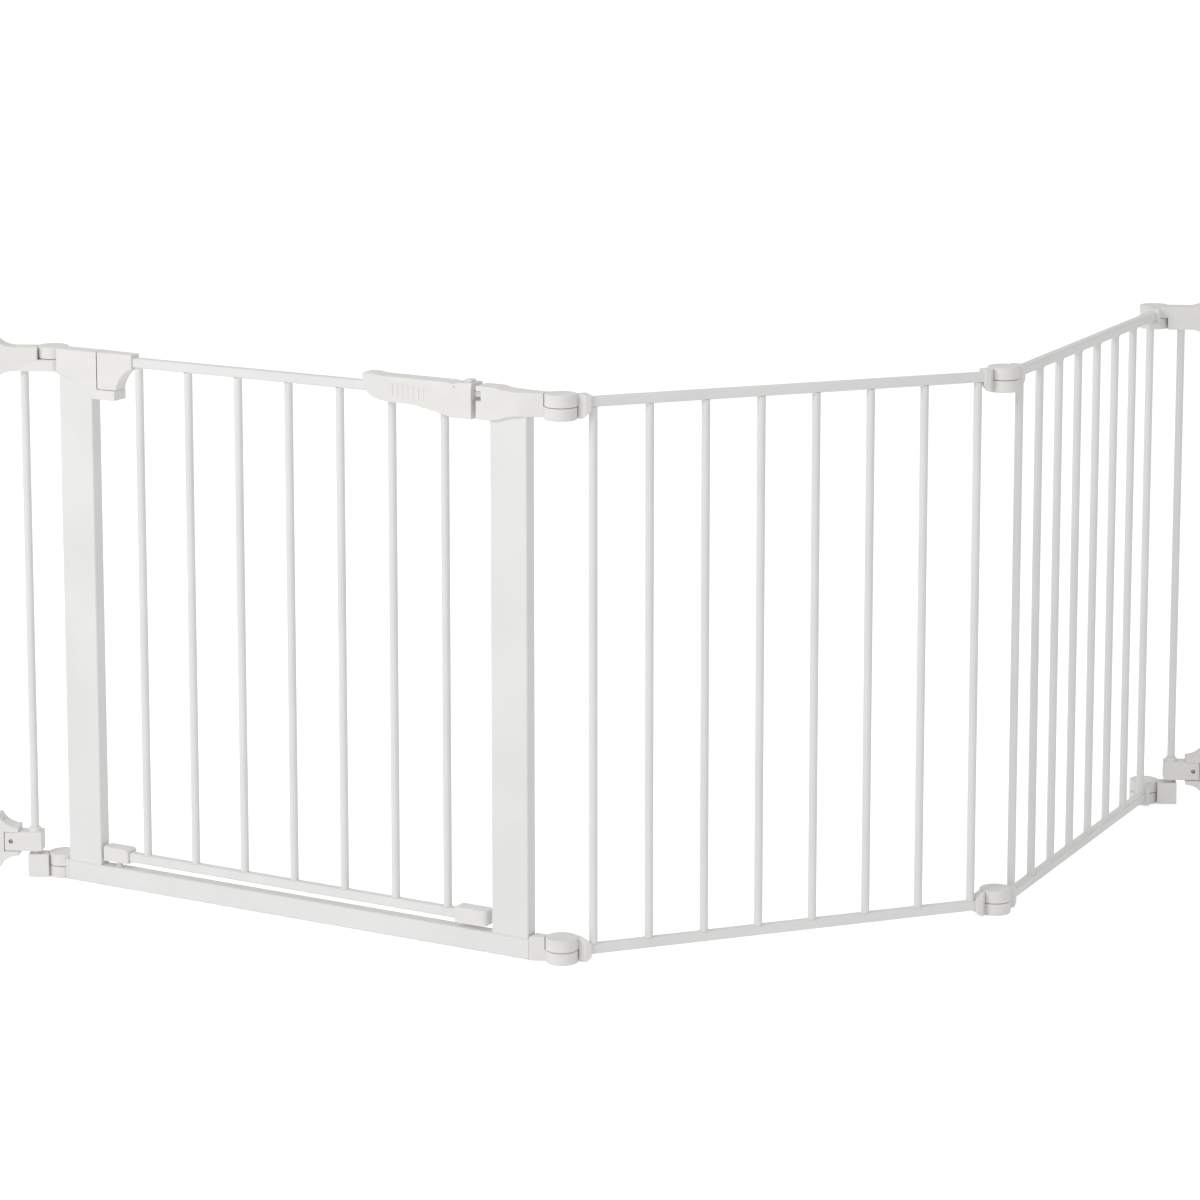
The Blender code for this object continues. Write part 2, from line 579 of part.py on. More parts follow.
def door(axis, steel, plastic):
    top_low = TOP_RAIL_Z - RAIL_SIZE / 2.0 - FIT
    bottom_high = DOOR_BOTTOM_RAIL_Z + RAIL_SIZE / 2.0 + FIT
    rail("door_top_rail", axis, 0.0199, DOOR_LAST_BAR + 0.0066, TOP_RAIL_Z, steel, 0.0)
    rail("door_bottom_rail", axis, 0.0076, 0.5660, DOOR_BOTTOM_RAIL_Z, steel, 0.0)
    for number in range(DOOR_BARS):
        x = DOOR_FIRST_BAR + number * DOOR_BAR_PITCH
        bar(f"door_bar_{number + 1}", axis, x, bottom_high, top_low, steel, 0.0)
    door_knuckles(axis, plastic)
    door_end_cap(axis, plastic)
    handle(axis, plastic)


# ---------------------------------------------------------------- latch
def latch_slide(axis, plastic):
    """The sliding tongue with its thumb button, drawn in its latched place."""
    left = 0.5515
    plate_half_depth = 0.0079
    outline = [(left, SLIDE_LOW), (BUTTON_RIGHT, SLIDE_LOW), (BUTTON_RIGHT, TONGUE_LOW),
               (TONGUE_END, TONGUE_LOW), (TONGUE_END, TONGUE_HIGH),
               (BUTTON_RIGHT, TONGUE_HIGH), (BUTTON_RIGHT, BUTTON_TOP - 0.0015),
               (BUTTON_RIGHT - 0.0020, BUTTON_TOP), (BUTTON_LEFT + 0.0015, BUTTON_TOP),
               (BUTTON_LEFT, BUTTON_TOP - 0.0015), (BUTTON_LEFT, SLIDE_HIGH), (left, SLIDE_HIGH)]
    tongue = extruded(outline, -BUTTON_HALF_DEPTH, BUTTON_HALF_DEPTH, "Y")
    body = object_from("latch_slide", tongue, axis, paint=plastic)
    combine(body, "UNION", box((left, -plate_half_depth, SLIDE_LOW),
                               (BUTTON_RIGHT - 0.0005, plate_half_depth, SLIDE_HIGH - 0.0005)))
    return smooth(body)


def latch_spring(axis, wire):
    """The coil spring that pushes the slide out; an open helix with flat-cut ends."""
    around, sides = 10, 6
    count = SPRING_TURNS * around
    height = (TONGUE_LOW + TONGUE_HIGH) / 2.0

    def make(edit):
        rings = []
        for step in range(count + 1):
            turn = 2.0 * math.pi * step / around
            length = SPRING_RIGHT - SPRING_LEFT - 2.0 * SPRING_WIRE_RADIUS
            centre_x = SPRING_LEFT + SPRING_WIRE_RADIUS + length * step / count
            outward = Vector((0.0, math.cos(turn), math.sin(turn)))
            centre = Vector((centre_x, 0.0, height)) + outward * SPRING_COIL_RADIUS
            ring = []
            for side in range(sides):
                angle = 2.0 * math.pi * side / sides
                offset = outward * math.cos(angle) + Vector((1.0, 0.0, 0.0)) * math.sin(angle)
                ring.append(edit.verts.new(centre + offset * SPRING_WIRE_RADIUS))
            rings.append(ring)
        edit.faces.new(rings[0])
        edit.faces.new(rings[-1])
        for first, second in zip(rings, rings[1:]):
            for here in range(sides):
                there = (here + 1) % sides
                edit.faces.new((first[here], first[there], second[there], second[here]))
    return smooth(object_from("latch_spring", make, axis, (0.0, 0.0, 0.0), wire), 60.0)


# ---------------------------------------------------------------- wall arms
def flare(start, end, half_height, radius, centre, steps=6):
    """Both edges of a fishtail that opens towards the wall, as an outline in (distance, height)."""
    upper = []
    for step in range(steps + 1):
        x = start + (end - start) * step / steps
        rise = radius - math.sqrt(radius ** 2 - (x - start) ** 2)
        upper.append((x, centre + half_height + rise))
    upper.append((ARM_SPAN, upper[-1][1]))
    lower = [(x, 2.0 * centre - z) for x, z in upper]
    return upper, lower


def wall_screw_hole(height, side, y=MID):
    """A hole along X for a wall screw, through the fishtail's ear."""
    ends = sorted((side * 0.060, side * (ARM_SPAN + PAST)))
    return plug(WALL_SCREW_RADIUS, *ends, SCREW_SIDES, (y, height), "X")


def upper_arm(name, axis, side, upper, plastic):
    """The fishtail arm from a hinge to the wall; side is 1 where the wall is to its right."""
    centre = TOP_KNUCKLE_Z + KNUCKLE_HEIGHT / 2.0
    front, back = MID - ARM_HALF_DEPTH, MID + ARM_HALF_DEPTH
    plan = [(0.004, back), (0.004, NECK_Y), (EDGE_X, NECK_Y), (EDGE_X, front), (ARM_SPAN, front),
            (ARM_SPAN, back)]
    top, bottom = flare(FLARE_START, FLARE_END, KNUCKLE_HEIGHT / 2.0 - 0.0003, FLARE_RADIUS, centre)
    top[-1] = (ARM_SPAN + 0.001, top[-1][1])
    bottom[-1] = (ARM_SPAN + 0.001, bottom[-1][1])
    elevation = [(0.003, top[0][1])] + top + bottom[::-1] + [(0.003, bottom[0][1])]
    body = crossed(name, axis, (0.0, 0.0, 0.0), flipped(plan, side), flipped(elevation, side), plastic)
    seam = seam_height(TOP_KNUCKLE_Z)
    cover_low = seam + DISC_GAP / 2.0 if upper else bottom[0][1]
    cover_high = top[0][1] if upper else seam - DISC_GAP / 2.0
    ends = sorted((side * -0.0038, side * (EDGE_X + 0.002)))
    combine(body, "UNION", box((ends[0], front, cover_low), (ends[1], -0.0100, cover_high)))
    add_disc(body, TOP_KNUCKLE_Z, upper)
    hole, low = BAR_RADIUS + FIT, TOP_KNUCKLE_Z
    combine(body, "DIFFERENCE", plug(hole, low - 0.005, low + 0.013, BAR_SIDES, (side * ARM_BAR_X, MID)))
    for sign in (-1, 1):
        combine(body, "DIFFERENCE", wall_screw_hole(centre + sign * 0.0330, side))
    return smooth(body)


def lower_link(name, axis, side, upper, plastic):
    """The floor knuckle of a wall arm, which holds the foot of the upright bar."""
    half = 0.0115
    end = 0.0465
    plan = [(0.004, MID + half), (0.004, NECK_Y), (EDGE_X, NECK_Y), (EDGE_X, MID - half),
            (end, MID - half), (end, MID + half)]
    low, high = BOTTOM_KNUCKLE_Z + 0.001, BOTTOM_KNUCKLE_Z + KNUCKLE_HEIGHT
    elevation = [(0.003, low), (end + 0.001, low), (end + 0.001, high - 0.0005), (0.003, high - 0.0005)]
    body = crossed(name, axis, (0.0, 0.0, 0.0), flipped(plan, side), flipped(elevation, side), plastic)
    add_disc(body, BOTTOM_KNUCKLE_Z, upper)
    hole = BAR_RADIUS + FIT
    combine(body, "DIFFERENCE", plug(hole, high - 0.015, high + 0.005, BAR_SIDES, (side * ARM_BAR_X, MID)))
    return smooth(body)


def clamp_block(name, axis, side, plastic):
    """The block on the upright bar that reaches into the wall bracket, with its collar and screw hole."""
    half = 0.0120
    start = 0.0270
    ends = sorted((side * start, side * BLOCK_END))
    body = object_from(name, box((ends[0], MID - half, BLOCK_LOW), (ends[1], MID + half, BLOCK_HIGH)), axis,
                       paint=plastic)
    centre = (side * ARM_BAR_X, MID)
    collar = [(0.0, BLOCK_HIGH - 0.001), (0.0098, BLOCK_HIGH - 0.001), (0.0072, BLOCK_HIGH + 0.0055),
              (0.0, BLOCK_HIGH + 0.0055)]
    combine(body, "UNION", turned(collar, 20, centre))
    hole = BAR_RADIUS + FIT
    combine(body, "DIFFERENCE", plug(hole, 0.030, 0.075, BAR_SIDES, centre))
    middle = (BLOCK_LOW + BLOCK_HIGH) / 2.0
    screw = [(0.0, MID - half - 0.002), (0.0032, MID - half - 0.002), (0.0032, MID - half + 0.003),
             (0.0016, MID - half + 0.003), (0.0016, MID + half + 0.002), (0.0, MID + half + 0.002)]
    combine(body, "DIFFERENCE", turned(screw, SCREW_SIDES, (side * 0.0700, middle), "Y"))
    return smooth(body)


def wall_bracket(name, axis, side, plastic):
    """The lower fishtail, screwed to the wall, with a channel for the clamp block."""
    centre = (BLOCK_LOW + BLOCK_HIGH) / 2.0
    front, back = MID - ARM_HALF_DEPTH, MID + ARM_HALF_DEPTH + 0.003
    plan = [(CUP_START, back), (CUP_START, front), (ARM_SPAN, front), (ARM_SPAN, back)]
    top, bottom = flare(CUP_START, 0.0860, CUP_HALF_HEIGHT, 0.0300, centre)
    elevation = [(CUP_START - 0.001, top[0][1])] + top[1:-1] + [(ARM_SPAN + 0.001, top[-1][1])]
    elevation += [(ARM_SPAN + 0.001, bottom[-1][1])] + bottom[1:-1][::-1] + [(CUP_START - 0.001, bottom[0][1])]
    body = crossed(name, axis, (0.0, 0.0, 0.0), flipped(plan, side), flipped(elevation, side), plastic)
    ends = sorted((side * (CUP_START - 0.003), side * (BLOCK_END + FIT)))
    combine(body, "DIFFERENCE", box((ends[0], front - 0.003, BLOCK_LOW - FIT),
                                    (ends[1], MID + 0.0120 + FIT, BLOCK_HIGH + FIT)))
    for sign in (-1, 1):
        combine(body, "DIFFERENCE", wall_screw_hole(centre + sign * 0.0290, side))
    return smooth(body)


def wall_arm(name, axis, side, upper, steel, plastic):
    """One wall arm: fishtail, upright bar, floor link, clamp block and lower wall bracket."""
    upper_arm(f"{name}_upper_arm", axis, side, upper, plastic)
    low = BOTTOM_KNUCKLE_Z + KNUCKLE_HEIGHT - 0.015 + FIT
    bar(f"{name}_arm_bar", axis, side * ARM_BAR_X, low, TOP_KNUCKLE_Z + 0.013 - FIT, steel)
    lower_link(f"{name}_lower_link", axis, side, upper, plastic)
    clamp_block(f"{name}_clamp_block", axis, side, plastic)
    wall_bracket(f"{name}_wall_bracket", axis, side, plastic)


# ---------------------------------------------------------------- assembly
def reach(span, heading):
    return Matrix.Rotation(math.radians(heading), 3, "Z") @ Vector((span, 0.0, 0.0))


def main():
    for old in list(bpy.data.objects):
        bpy.data.objects.remove(old, do_unlink=True)
    steel = material("white_powder_coated_steel", (0.83, 0.83, 0.82), 0.35)
    plastic = material("white_moulded_plastic", (0.82, 0.82, 0.79), 0.45)
    wire = material("spring_steel", (0.55, 0.55, 0.56), 0.30, 1.0)

    # Plan of the hinge axes with hinge 1 at the origin, then centred on the floor.
    hinge_2 = reach(FRAME_SPAN, HEADING_FRAME)
    hinge_3 = hinge_2 + reach(PANEL_SPAN, HEADING_PANEL_1)
    hinge_4 = hinge_3 + reach(PANEL_SPAN, HEADING_PANEL_2)
    front_most = hinge_2.y - KNUCKLE_RADIUS
    back_most = hinge_4.y + MID + ARM_HALF_DEPTH + 0.003
    hinge_1 = Vector((-hinge_4.x / 2.0, -(front_most + back_most) / 2.0, 0.0))

    frame_axis = empty("hinge_1_axis", None, hinge_1, HEADING_FRAME)
    left_axis = empty("left_arm_axis", frame_axis, (0.0, 0.0, 0.0), HEADING_ARMS - HEADING_FRAME)
    door_axis = empty("door_axis", frame_axis, (DOOR_PIVOT_X, MID, 0.0))
    panel_1_axis = empty("hinge_2_axis", frame_axis, (FRAME_SPAN, 0.0, 0.0), HEADING_PANEL_1 - HEADING_FRAME)
    panel_2_axis = empty("hinge_3_axis", panel_1_axis, (PANEL_SPAN, 0.0, 0.0),
                         HEADING_PANEL_2 - HEADING_PANEL_1)
    right_axis = empty("hinge_4_axis", panel_2_axis, (PANEL_SPAN, 0.0, 0.0), HEADING_ARMS - HEADING_PANEL_2)

    door_frame(frame_axis, steel, plastic)
    door(door_axis, steel, plastic)
    latch_slide(door_axis, plastic)
    latch_spring(door_axis, wire)
    panel("panel_1", panel_1_axis, steel, plastic)
    panel("panel_2", panel_2_axis, steel, plastic)
    wall_arm("left", left_axis, -1, False, steel, plastic)
    wall_arm("right", right_axis, 1, True, steel, plastic)


main()
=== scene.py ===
"""Looks of the pet gate: white powder-coated tubes and moulded plastic hinges on a pale studio floor.

Every section is drawn in its own frame, as the CAD is: X runs along the section from its left hinge
axis, -Y is its front and Z is up, in metres.  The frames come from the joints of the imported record.
"""
import json
import math

import bmesh
import bpy
from mathutils import Matrix, Vector


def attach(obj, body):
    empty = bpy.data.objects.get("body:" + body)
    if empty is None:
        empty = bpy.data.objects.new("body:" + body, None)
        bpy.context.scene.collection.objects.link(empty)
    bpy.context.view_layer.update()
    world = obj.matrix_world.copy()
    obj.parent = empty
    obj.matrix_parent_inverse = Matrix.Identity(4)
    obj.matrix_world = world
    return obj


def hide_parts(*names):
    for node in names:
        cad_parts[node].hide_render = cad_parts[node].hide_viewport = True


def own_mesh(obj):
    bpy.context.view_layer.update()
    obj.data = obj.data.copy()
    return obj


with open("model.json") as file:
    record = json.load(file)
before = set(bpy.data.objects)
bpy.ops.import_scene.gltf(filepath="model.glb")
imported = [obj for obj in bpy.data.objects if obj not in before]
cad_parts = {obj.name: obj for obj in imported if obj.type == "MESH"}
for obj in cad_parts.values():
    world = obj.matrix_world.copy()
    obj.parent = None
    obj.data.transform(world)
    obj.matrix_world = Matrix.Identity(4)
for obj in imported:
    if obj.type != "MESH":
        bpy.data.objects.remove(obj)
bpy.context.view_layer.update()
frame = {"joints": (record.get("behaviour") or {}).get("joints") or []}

# ---------------------------------------------------------------- section frames
JOINTS = {joint["name"]: joint for joint in frame["joints"]}
H1, H2, H3, H4, PIVOT = (Vector(JOINTS[name]["pos_m"]) for name in
                         ("hinge_1", "hinge_2", "hinge_3", "hinge_4", "door_swing"))


def section(origin, towards):
    """The frame of a section that starts at origin and runs along towards."""
    return Matrix.Translation(origin) @ Matrix.Rotation(math.atan2(towards.y, towards.x), 4, "Z")


FRAME = section(H1, H2 - H1)
PANEL = {"panel_1": section(H2, H3 - H2), "panel_2": section(H3, H4 - H3)}
DOOR = section(PIVOT, H2 - H1)
ARM = {"left": section(H1, Vector((1.0, 0.0))), "right": section(H4, Vector((1.0, 0.0)))}
FRAME_SPAN = (H2 - H1).length
PANEL_SPAN = (H3 - H2).length

# ---------------------------------------------------------------- sizes, the same as the CAD's
MID = -0.0075                   # the sections' middle plane, in front of the axes
FIT = 0.0003                    # room between pieces that touch
SNUG = 0.0001                   # room around a tube in its drawn socket
PAST = 0.002                    # how far a cutter reaches past the face it cuts
BARS_PER_PANEL = 8
BAR_PITCH = 0.0762
PANEL_END_TO_BAR = 0.0403
BAR_RADIUS = 0.0055
BAR_WALL = 0.0009
RAIL_HALF = 0.0065
RAIL_WALL = 0.0011
TOP_RAIL_Z = 0.7260
BOTTOM_RAIL_Z = 0.0155
DOOR_BOTTOM_RAIL_Z = 0.0440
KNUCKLE_RADIUS = 0.0210
KNUCKLE_HEIGHT = 0.0330
TOP_KNUCKLE_Z = 0.7045
DISC_GAP = 0.0008
PIN_RADIUS = 0.0060
PIN_CLEARANCE = 0.0004
RELIEF = 0.0009                 # room around the neighbour's disc
FRONT_NECK_Y = -0.0105          # front of the necks beside hinges 1 and 2, and of the arms' necks
POST_HALF_WIDTH = 0.0270
POST_HALF_DEPTH = 0.0100
POST_WALL = 0.0013
POST_CORNER = 0.0022
THRESHOLD_HEIGHT = 0.0280
THRESHOLD_WALL = 0.0015
THRESHOLD_CORNER = 0.0026
HINGE_POST_X = 0.0490
LATCH_POST_X = FRAME_SPAN - 0.0668
HINGE_POST_TOP = 0.7150
LATCH_POST_TOP = 0.7250
HOUSING_HALF_DEPTH = 0.0130
PIVOT_X = 0.1000                # the door's pivot, from hinge 1
UPPER_SWING_RADIUS = 0.0177
LOWER_SWING_RADIUS = 0.0220
LIP_TOP = 0.6867
LIP_BOTTOM = 0.6735
LIP_PIN_RADIUS = 0.0050
LIP_PIN_TOP = LIP_TOP + 0.0200
FLOOR_PIN_RADIUS = 0.0040
GUSSET_RISE = 0.0300
DOOR_TOP = 0.7372
DOOR_BARS = 7
DOOR_FIRST_BAR = 0.0475
DOOR_BAR_PITCH = 0.0795
DOOR_LAST_BAR = DOOR_FIRST_BAR + (DOOR_BARS - 1) * DOOR_BAR_PITCH
HANDLE_LEFT = 0.4067
HANDLE_RIGHT = 0.5722
HANDLE_HALF_DEPTH = 0.0150
TONGUE_LOW = 0.7252
TONGUE_HIGH = 0.7318
TONGUE_END = 0.5850
BUTTON_LEFT = 0.5560
BUTTON_RIGHT = 0.5675
BUTTON_HALF_DEPTH = 0.0062
BUTTON_TOP = 0.7468
SLIDE_LEFT = 0.5515
SLIDE_LOW = 0.7212
SLIDE_HIGH = 0.7358
SLIDE_HALF_DEPTH = 0.0079
SPRING_LEFT = 0.5336
SPRING_RIGHT = 0.5511
ARM_SPAN = 0.090                # hinge axis to wall
ARM_BAR_X = 0.0380
ARM_HALF_DEPTH = 0.0135
EDGE_X = 0.0182                 # an arm's upright front edge beside the neighbour's disc
RAIL_SOCKET_X = 0.0250
THRESHOLD_START = 0.0208
BLOCK_LOW = 0.0370
BLOCK_HIGH = 0.0640
BLOCK_END = 0.0790
BLOCK_HALF_DEPTH = 0.0120
CUP_START = 0.0590
WALL_SCREW_RADIUS = 0.0025
BACKWARDS = (0.0, 1.0, 0.0)     # where a screw in a section's back faces


# ---------------------------------------------------------------- materials
def shader_material(name):
    made = bpy.data.materials.new(name)
    made.use_nodes = True
    nodes = made.node_tree.nodes
    return made, nodes, made.node_tree.links, nodes["Principled BSDF"]


def noise(nodes, links, place, scale, detail=2.0, roughness=0.5):
    made = nodes.new("ShaderNodeTexNoise")
    made.inputs["Scale"].default_value = scale
    made.inputs["Detail"].default_value = detail
    made.inputs["Roughness"].default_value = roughness
    links.new(place, made.inputs["Vector"])
    return made.outputs["Fac"]


def ramp(nodes, links, value, low, high, dark, light):
    made = nodes.new("ShaderNodeValToRGB")
    made.color_ramp.elements[0].position = low
    made.color_ramp.elements[0].color = (*dark, 1.0)
    made.color_ramp.elements[1].position = high
    made.color_ramp.elements[1].color = (*light, 1.0)
    links.new(value, made.inputs["Fac"])
    return made.outputs["Color"]


def spread(nodes, links, value, low, high):
    made = nodes.new("ShaderNodeMapRange")
    made.inputs["To Min"].default_value = low
    made.inputs["To Max"].default_value = high
    links.new(value, made.inputs["Value"])
    return made.outputs["Result"]


def bump(nodes, links, value, strength, distance, under=None):
    made = nodes.new("ShaderNodeBump")
    made.inputs["Strength"].default_value = strength
    made.inputs["Distance"].default_value = distance
    links.new(value, made.inputs["Height"])
    if under is not None:
        links.new(under, made.inputs["Normal"])
    return made.outputs["Normal"]


def painted_edge_highlight(nodes, links, colour, highlight_colour, amount):
    """Mixes a lighter colour in along outer edges and corners: a painted highlight where those edges catch
    the light.
    """
    geometry = nodes.new("ShaderNodeNewGeometry")
    edge = nodes.new("ShaderNodeMapRange")
    edge.inputs["From Min"].default_value = 0.52
    edge.inputs["From Max"].default_value = 0.64
    edge.inputs["To Max"].default_value = amount
    links.new(geometry.outputs["Pointiness"], edge.inputs["Value"])
    mix = nodes.new("ShaderNodeMix")
    mix.data_type = "RGBA"
    links.new(edge.outputs["Result"], mix.inputs["Factor"])
    links.new(colour, mix.inputs[6])
    mix.inputs[7].default_value = (*highlight_colour, 1.0)
    return mix.outputs[2]


def powder_coat():
    """Satin white powder coat: faint orange peel about a millimetre across, and a soft tone drift."""
    made, nodes, links, shader = shader_material("white powder coat")
    place = nodes.new("ShaderNodeTexCoord").outputs["Object"]
    drift = noise(nodes, links, place, 9.0, 3.0)
    links.new(ramp(nodes, links, drift, 0.35, 0.65, (0.768, 0.768, 0.752), (0.803, 0.803, 0.788)),
              shader.inputs["Base Color"])
    peel = noise(nodes, links, place, 900.0, 1.5)
    grain = noise(nodes, links, place, 3200.0, 1.0)
    gloss = noise(nodes, links, place, 60.0)
    links.new(spread(nodes, links, gloss, 0.30, 0.44), shader.inputs["Roughness"])
    low = bump(nodes, links, peel, 0.20, 0.00006)
    links.new(bump(nodes, links, grain, 0.10, 0.00002, low), shader.inputs["Normal"])
    shader.inputs["IOR"].default_value = 1.48
    shader.inputs["Coat Weight"].default_value = 0.12
    shader.inputs["Coat Roughness"].default_value = 0.22
    return made


def moulded_plastic():
    """Warm white polypropylene: fine spark-eroded grain, faint flow marks, a painted highlight along outer
    edges, softer gloss than the steel.
    """
    made, nodes, links, shader = shader_material("white moulded plastic")
    coordinates = nodes.new("ShaderNodeTexCoord")
    place = coordinates.outputs["Object"]
    flow = nodes.new("ShaderNodeMapping")
    flow.inputs["Scale"].default_value = (14.0, 14.0, 38.0)
    links.new(place, flow.inputs["Vector"])
    marks = noise(nodes, links, flow.outputs["Vector"], 1.0, 4.0, 0.6)
    colour = ramp(nodes, links, marks, 0.34, 0.68, (0.775, 0.766, 0.744), (0.812, 0.803, 0.783))
    # painted highlight: a lighter colour mixed in along the outer edges and corners
    links.new(painted_edge_highlight(nodes, links, colour, (0.86, 0.86, 0.845), 0.5), shader.inputs["Base Color"])
    grain = noise(nodes, links, place, 2600.0, 2.0)
    sink = noise(nodes, links, place, 120.0, 1.0)
    links.new(spread(nodes, links, marks, 0.42, 0.56), shader.inputs["Roughness"])
    low = bump(nodes, links, sink, 0.10, 0.0002)
    links.new(bump(nodes, links, grain, 0.25, 0.00004, low), shader.inputs["Normal"])
    shader.inputs["IOR"].default_value = 1.50
    shader.inputs["Subsurface Weight"].default_value = 0.04
    shader.inputs["Subsurface Radius"].default_value = (0.0015, 0.0014, 0.0012)
    return made


def bare_metal(name, dark, light, roughness, stretch):
    """Drawn wire, zinc-plated screws: fine lines along one way."""
    made, nodes, links, shader = shader_material(name)
    place = nodes.new("ShaderNodeTexCoord").outputs["Object"]
    mapping = nodes.new("ShaderNodeMapping")
    mapping.inputs["Scale"].default_value = stretch
    links.new(place, mapping.inputs["Vector"])
    lines = noise(nodes, links, mapping.outputs["Vector"], 1.0, 3.0, 0.6)
    links.new(ramp(nodes, links, lines, 0.3, 0.7, dark, light), shader.inputs["Base Color"])
    links.new(spread(nodes, links, lines, roughness - 0.06, roughness + 0.08), shader.inputs["Roughness"])
    links.new(bump(nodes, links, lines, 0.2, 0.00003), shader.inputs["Normal"])
    shader.inputs["Metallic"].default_value = 1.0
    return made


STEEL = powder_coat()
PLASTIC = moulded_plastic()
WIRE = bare_metal("drawn spring wire", (0.42, 0.42, 0.43), (0.62, 0.62, 0.63), 0.28,
                  (900.0, 2600.0, 2600.0))
ZINC = bare_metal("zinc plated screw", (0.40, 0.41, 0.42), (0.58, 0.58, 0.57), 0.34,
                  (2400.0, 2400.0, 500.0))


# ---------------------------------------------------------------- mesh makers
def extruded(outline, low, high, along="Z"):
    """Mesh maker: an outline pushed from low to high along X, Y or Z."""
    def point(a, b, height):
        return {"X": (height, a, b), "Y": (a, height, b), "Z": (a, b, height)}[along]

    def make(edit):
        lower = [edit.verts.new(point(a, b, low)) for a, b in outline]
        upper = [edit.verts.new(point(a, b, high)) for a, b in outline]
        edit.faces.new(lower)
        edit.faces.new(upper)
        for here in range(len(outline)):
            there = (here + 1) % len(outline)
            edit.faces.new((lower[here], lower[there], upper[there], upper[here]))
    return make


def turned(profile, sides=48, centre=(0.0, 0.0), axis="Z"):
    """Mesh maker: (radius, height) points turned about an axis; a radius of 0 makes a pole."""
    def make(edit):
        rings = []
        for radius, height in profile:
            count = 1 if radius == 0.0 else sides
            ring = []
            for step in range(count):
                angle = 2.0 * math.pi * (step + 0.5) / sides
                a = centre[0] + radius * math.cos(angle)
                b = centre[1] + radius * math.sin(angle)
                place = {"Z": (a, b, height), "X": (height, a, b), "Y": (a, height, b)}[axis]
                ring.append(edit.verts.new(place))
            rings.append(ring)
        pairs = list(zip(rings, rings[1:]))
        if profile[0][0] > 0.0:
            pairs.append((rings[-1], rings[0]))
        for first, second in pairs:
            for here in range(sides):
                there = (here + 1) % sides
                corners = [first[here % len(first)], first[there % len(first)],
                           second[there % len(second)], second[here % len(second)]]
                edit.faces.new(list(dict.fromkeys(corners)))
    return make


def box(low, high):
    outline = [(low[0], low[1]), (high[0], low[1]), (high[0], high[1]), (low[0], high[1])]
    return extruded(outline, low[2], high[2])


def plug(radius, low, high, centre=(0.0, 0.0), axis="Z", sides=48):
    """Mesh maker: a plain round solid, for holes."""
    return turned([(0.0, low), (radius, low), (radius, high), (0.0, high)], sides, centre, axis)


def rounded_rectangle(half_a, half_b, corner, centre=(0.0, 0.0), steps=6):
    points = []
    for quarter, (side_a, side_b) in enumerate(((1, 1), (-1, 1), (-1, -1), (1, -1))):
        for step in range(steps + 1):
            angle = math.radians(90.0 * (quarter + step / steps))
            points.append((centre[0] + side_a * (half_a - corner) + corner * math.cos(angle),
                           centre[1] + side_b * (half_b - corner) + corner * math.sin(angle)))
    return points


def circle(radius, sides):
    angles = [2.0 * math.pi * (step + 0.5) / sides for step in range(sides)]
    return [(radius * math.cos(angle), radius * math.sin(angle)) for angle in angles]


def tube(outer, inner, stations, along):
    """Mesh maker: a hollow section with open ends; stations are (distance, growth of the outer outline)."""
    def point(a, b, height):
        return {"X": (height, a, b), "Z": (a, b, height)}[along]

    def make(edit):
        rings = []
        for distance, growth in stations:
            rings.append([edit.verts.new(point(a * growth, b * growth, distance)) for a, b in outer])
        for distance in (stations[-1][0], stations[0][0]):
            rings.append([edit.verts.new(point(a, b, distance)) for a, b in inner])
        for first, second in zip(rings, rings[1:] + rings[:1]):
            for here in range(len(outer)):
                there = (here + 1) % len(outer)
                edit.faces.new((first[here], first[there], second[there], second[here]))
    return make


def flipped(outline, side):
    return [(side * a, b) for a, b in outline]


# ---------------------------------------------------------------- solids and pieces
def solid(maker, name="solid"):
    mesh = bpy.data.meshes.new(name)
    edit = bmesh.new()
    maker(edit)
    bmesh.ops.recalc_face_normals(edit, faces=edit.faces)
    edit.to_mesh(mesh)
    edit.free()
    made = bpy.data.objects.new(name, mesh)
    bpy.context.scene.collection.objects.link(made)
    return made


def worked(body, steps):
    """Applies a list of (operation, mesh maker) to a solid and returns it with its new mesh."""
    helpers = []
    for operation, maker in steps:
        helper = solid(maker, "helper")
        helpers.append(helper)
        step = body.modifiers.new(operation, "BOOLEAN")
        step.operation = operation
        step.solver = "EXACT"
        step.object = helper
    bpy.context.view_layer.update()
    result = bpy.data.meshes.new_from_object(body.evaluated_get(bpy.context.evaluated_depsgraph_get()))
    body.modifiers.clear()
    old = body.data
    body.data = result
    bpy.data.meshes.remove(old)
    for helper in helpers:
        mesh = helper.data
        bpy.data.objects.remove(helper)
        bpy.data.meshes.remove(mesh)
    return body


def join(body, other):
    """Unites two solids; the second one is used up."""
    step = body.modifiers.new("union", "BOOLEAN")
    step.operation = "UNION"
    step.solver = "EXACT"
    step.object = other
    worked(body, [])
    mesh = other.data
    bpy.data.objects.remove(other)
    bpy.data.meshes.remove(mesh)


def softened(body, width=0.0008, segments=3, angle=32.0, keep=None):
    """Rounds every edge sharper than angle, except where keep(edge) is true."""
    edit = bmesh.new()
    edit.from_mesh(body.data)
    bmesh.ops.remove_doubles(edit, verts=edit.verts, dist=1e-6)
    bmesh.ops.dissolve_limit(edit, angle_limit=math.radians(0.5), verts=edit.verts, edges=edit.edges)
    least = math.radians(angle)
    sharp = [edge for edge in edit.edges if edge.is_manifold and edge.calc_face_angle(0.0) > least]
    edges = [edge for edge in sharp if not (keep and keep(edge))]
    bmesh.ops.bevel(edit, geom=edges, offset=width, offset_type="OFFSET", segments=segments, profile=0.5,
                    affect="EDGES", clamp_overlap=True)
    edit.to_mesh(body.data)
    edit.free()
    return body


